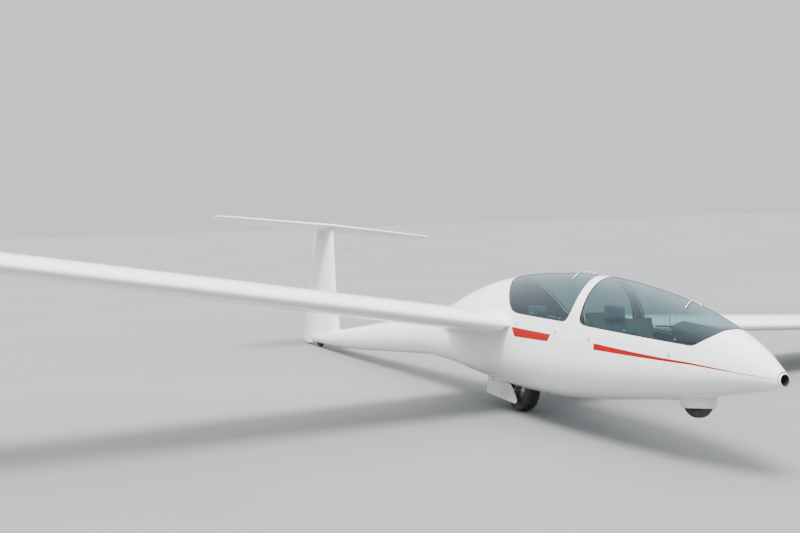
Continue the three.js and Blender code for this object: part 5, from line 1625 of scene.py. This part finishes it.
def small_fittings():
    """Static ports, the screws under the tailplane and the tow hook."""
    groups = []
    for side in (-1, 1):
        groups.append((SEAL, knob(on_skin(435, 18, side, 0.2), 3.2, (0, 1, 0), 1.6, 14)))
        for station, z in ((7780, 1560), (7850, 1540), (7920, 1560), (8000, 1545)):
            y = side * (fin_half(z, station) + 0.3)
            groups.append((STEEL, knob((station, y, z), 4.5, (0, 1, 0), 2.4, 12)))
    hook = float(belly_height(2560, 0))
    groups.append((STEEL, tube([(2545, 0, hook + 4), (2560, 0, hook - 12), (2578, 0, hook - 4)], 6, 14)))
    painted("small_fittings", groups)


for cockpit in ("front", "rear"):
    canopy_fittings(cockpit)
small_fittings()


# Floor and light. The sky's colours go by height, and a light is (strength, spread in degrees, direction).
FLOOR_HALF, SKY_STRENGTH, BACKDROP = 120, 1.5, (0.6, 0.61, 0.62)
SKY_COLOURS = ((0.0, (0.3, 0.31, 0.32, 1)), (0.16, (0.34, 0.36, 0.38, 1)), (0.34, (0.86, 0.9, 0.95, 1)),
               (0.6, (1.2, 1.24, 1.28, 1)), (1.0, (2.4, 2.45, 2.5, 1)))
LIGHTS = dict(key=(7.5, 24, (-0.25, 0.3, -0.92)), fill=(1.4, 60, (0.75, 0.5, -0.5)))


def studio():
    corners = [(x * FLOOR_HALF, y * FLOOR_HALF, 0) for x, y in ((-1, -1), (1, -1), (1, 1), (-1, 1))]
    mesh = bpy.data.meshes.new("floor")
    mesh.from_pydata(corners, [], [(0, 1, 2, 3)])
    pale = plain_finish("floor_pale", (0.2, 0.204, 0.205), (0.215, 0.218, 0.218), 0.9, grain=2.0, bump=0.0)
    mesh.materials.append(pale)
    floor = bpy.data.objects.new("floor", mesh)
    bpy.context.scene.collection.objects.link(floor)
    world = bpy.data.worlds.new("studio")
    bpy.context.scene.world = world
    world.use_nodes = True
    tree = world.node_tree
    way = add_node(tree, "SeparateXYZ", {0: add_node(tree, "TexCoord", {}).outputs["Generated"]})
    ramp = add_node(tree, "ValToRGB", {0: way.outputs["Z"]})
    for i, (position, colour) in enumerate(SKY_COLOURS):
        stop = ramp.color_ramp.elements[i] if i < 2 else ramp.color_ramp.elements.new(position)
        stop.position, stop.color = position, colour
    seen = add_node(tree, "LightPath", {}).outputs["Is Camera Ray"]
    feed(tree, tree.nodes["Background"], {"Color": blend(tree, seen, ramp.outputs[0], BACKDROP),
                                          "Strength": SKY_STRENGTH})
    for name, (strength, spread, aim) in LIGHTS.items():
        light = bpy.data.lights.new(name, "SUN")
        light.energy, light.angle = strength, math.radians(spread)
        lamp = bpy.data.objects.new(name, light)
        bpy.context.scene.collection.objects.link(lamp)
        lamp.rotation_euler = Vector(aim).to_track_quat("-Z", "Y").to_euler()
        lamp.visible_glossy = False


studio()

# Finish of the frame's own pieces that stay as they are
NODE_FINISHES = dict(
    main_wheel_bay=BAY_PAINT, nose_wheel_bay=BAY_PAINT, floor_front=LINER, floor_rear=LINER)
for node, finish in NODE_FINISHES.items():
    mesh = frame["nodes"][node].data
    for i in range(len(mesh.materials)):
        mesh.materials[i] = finish
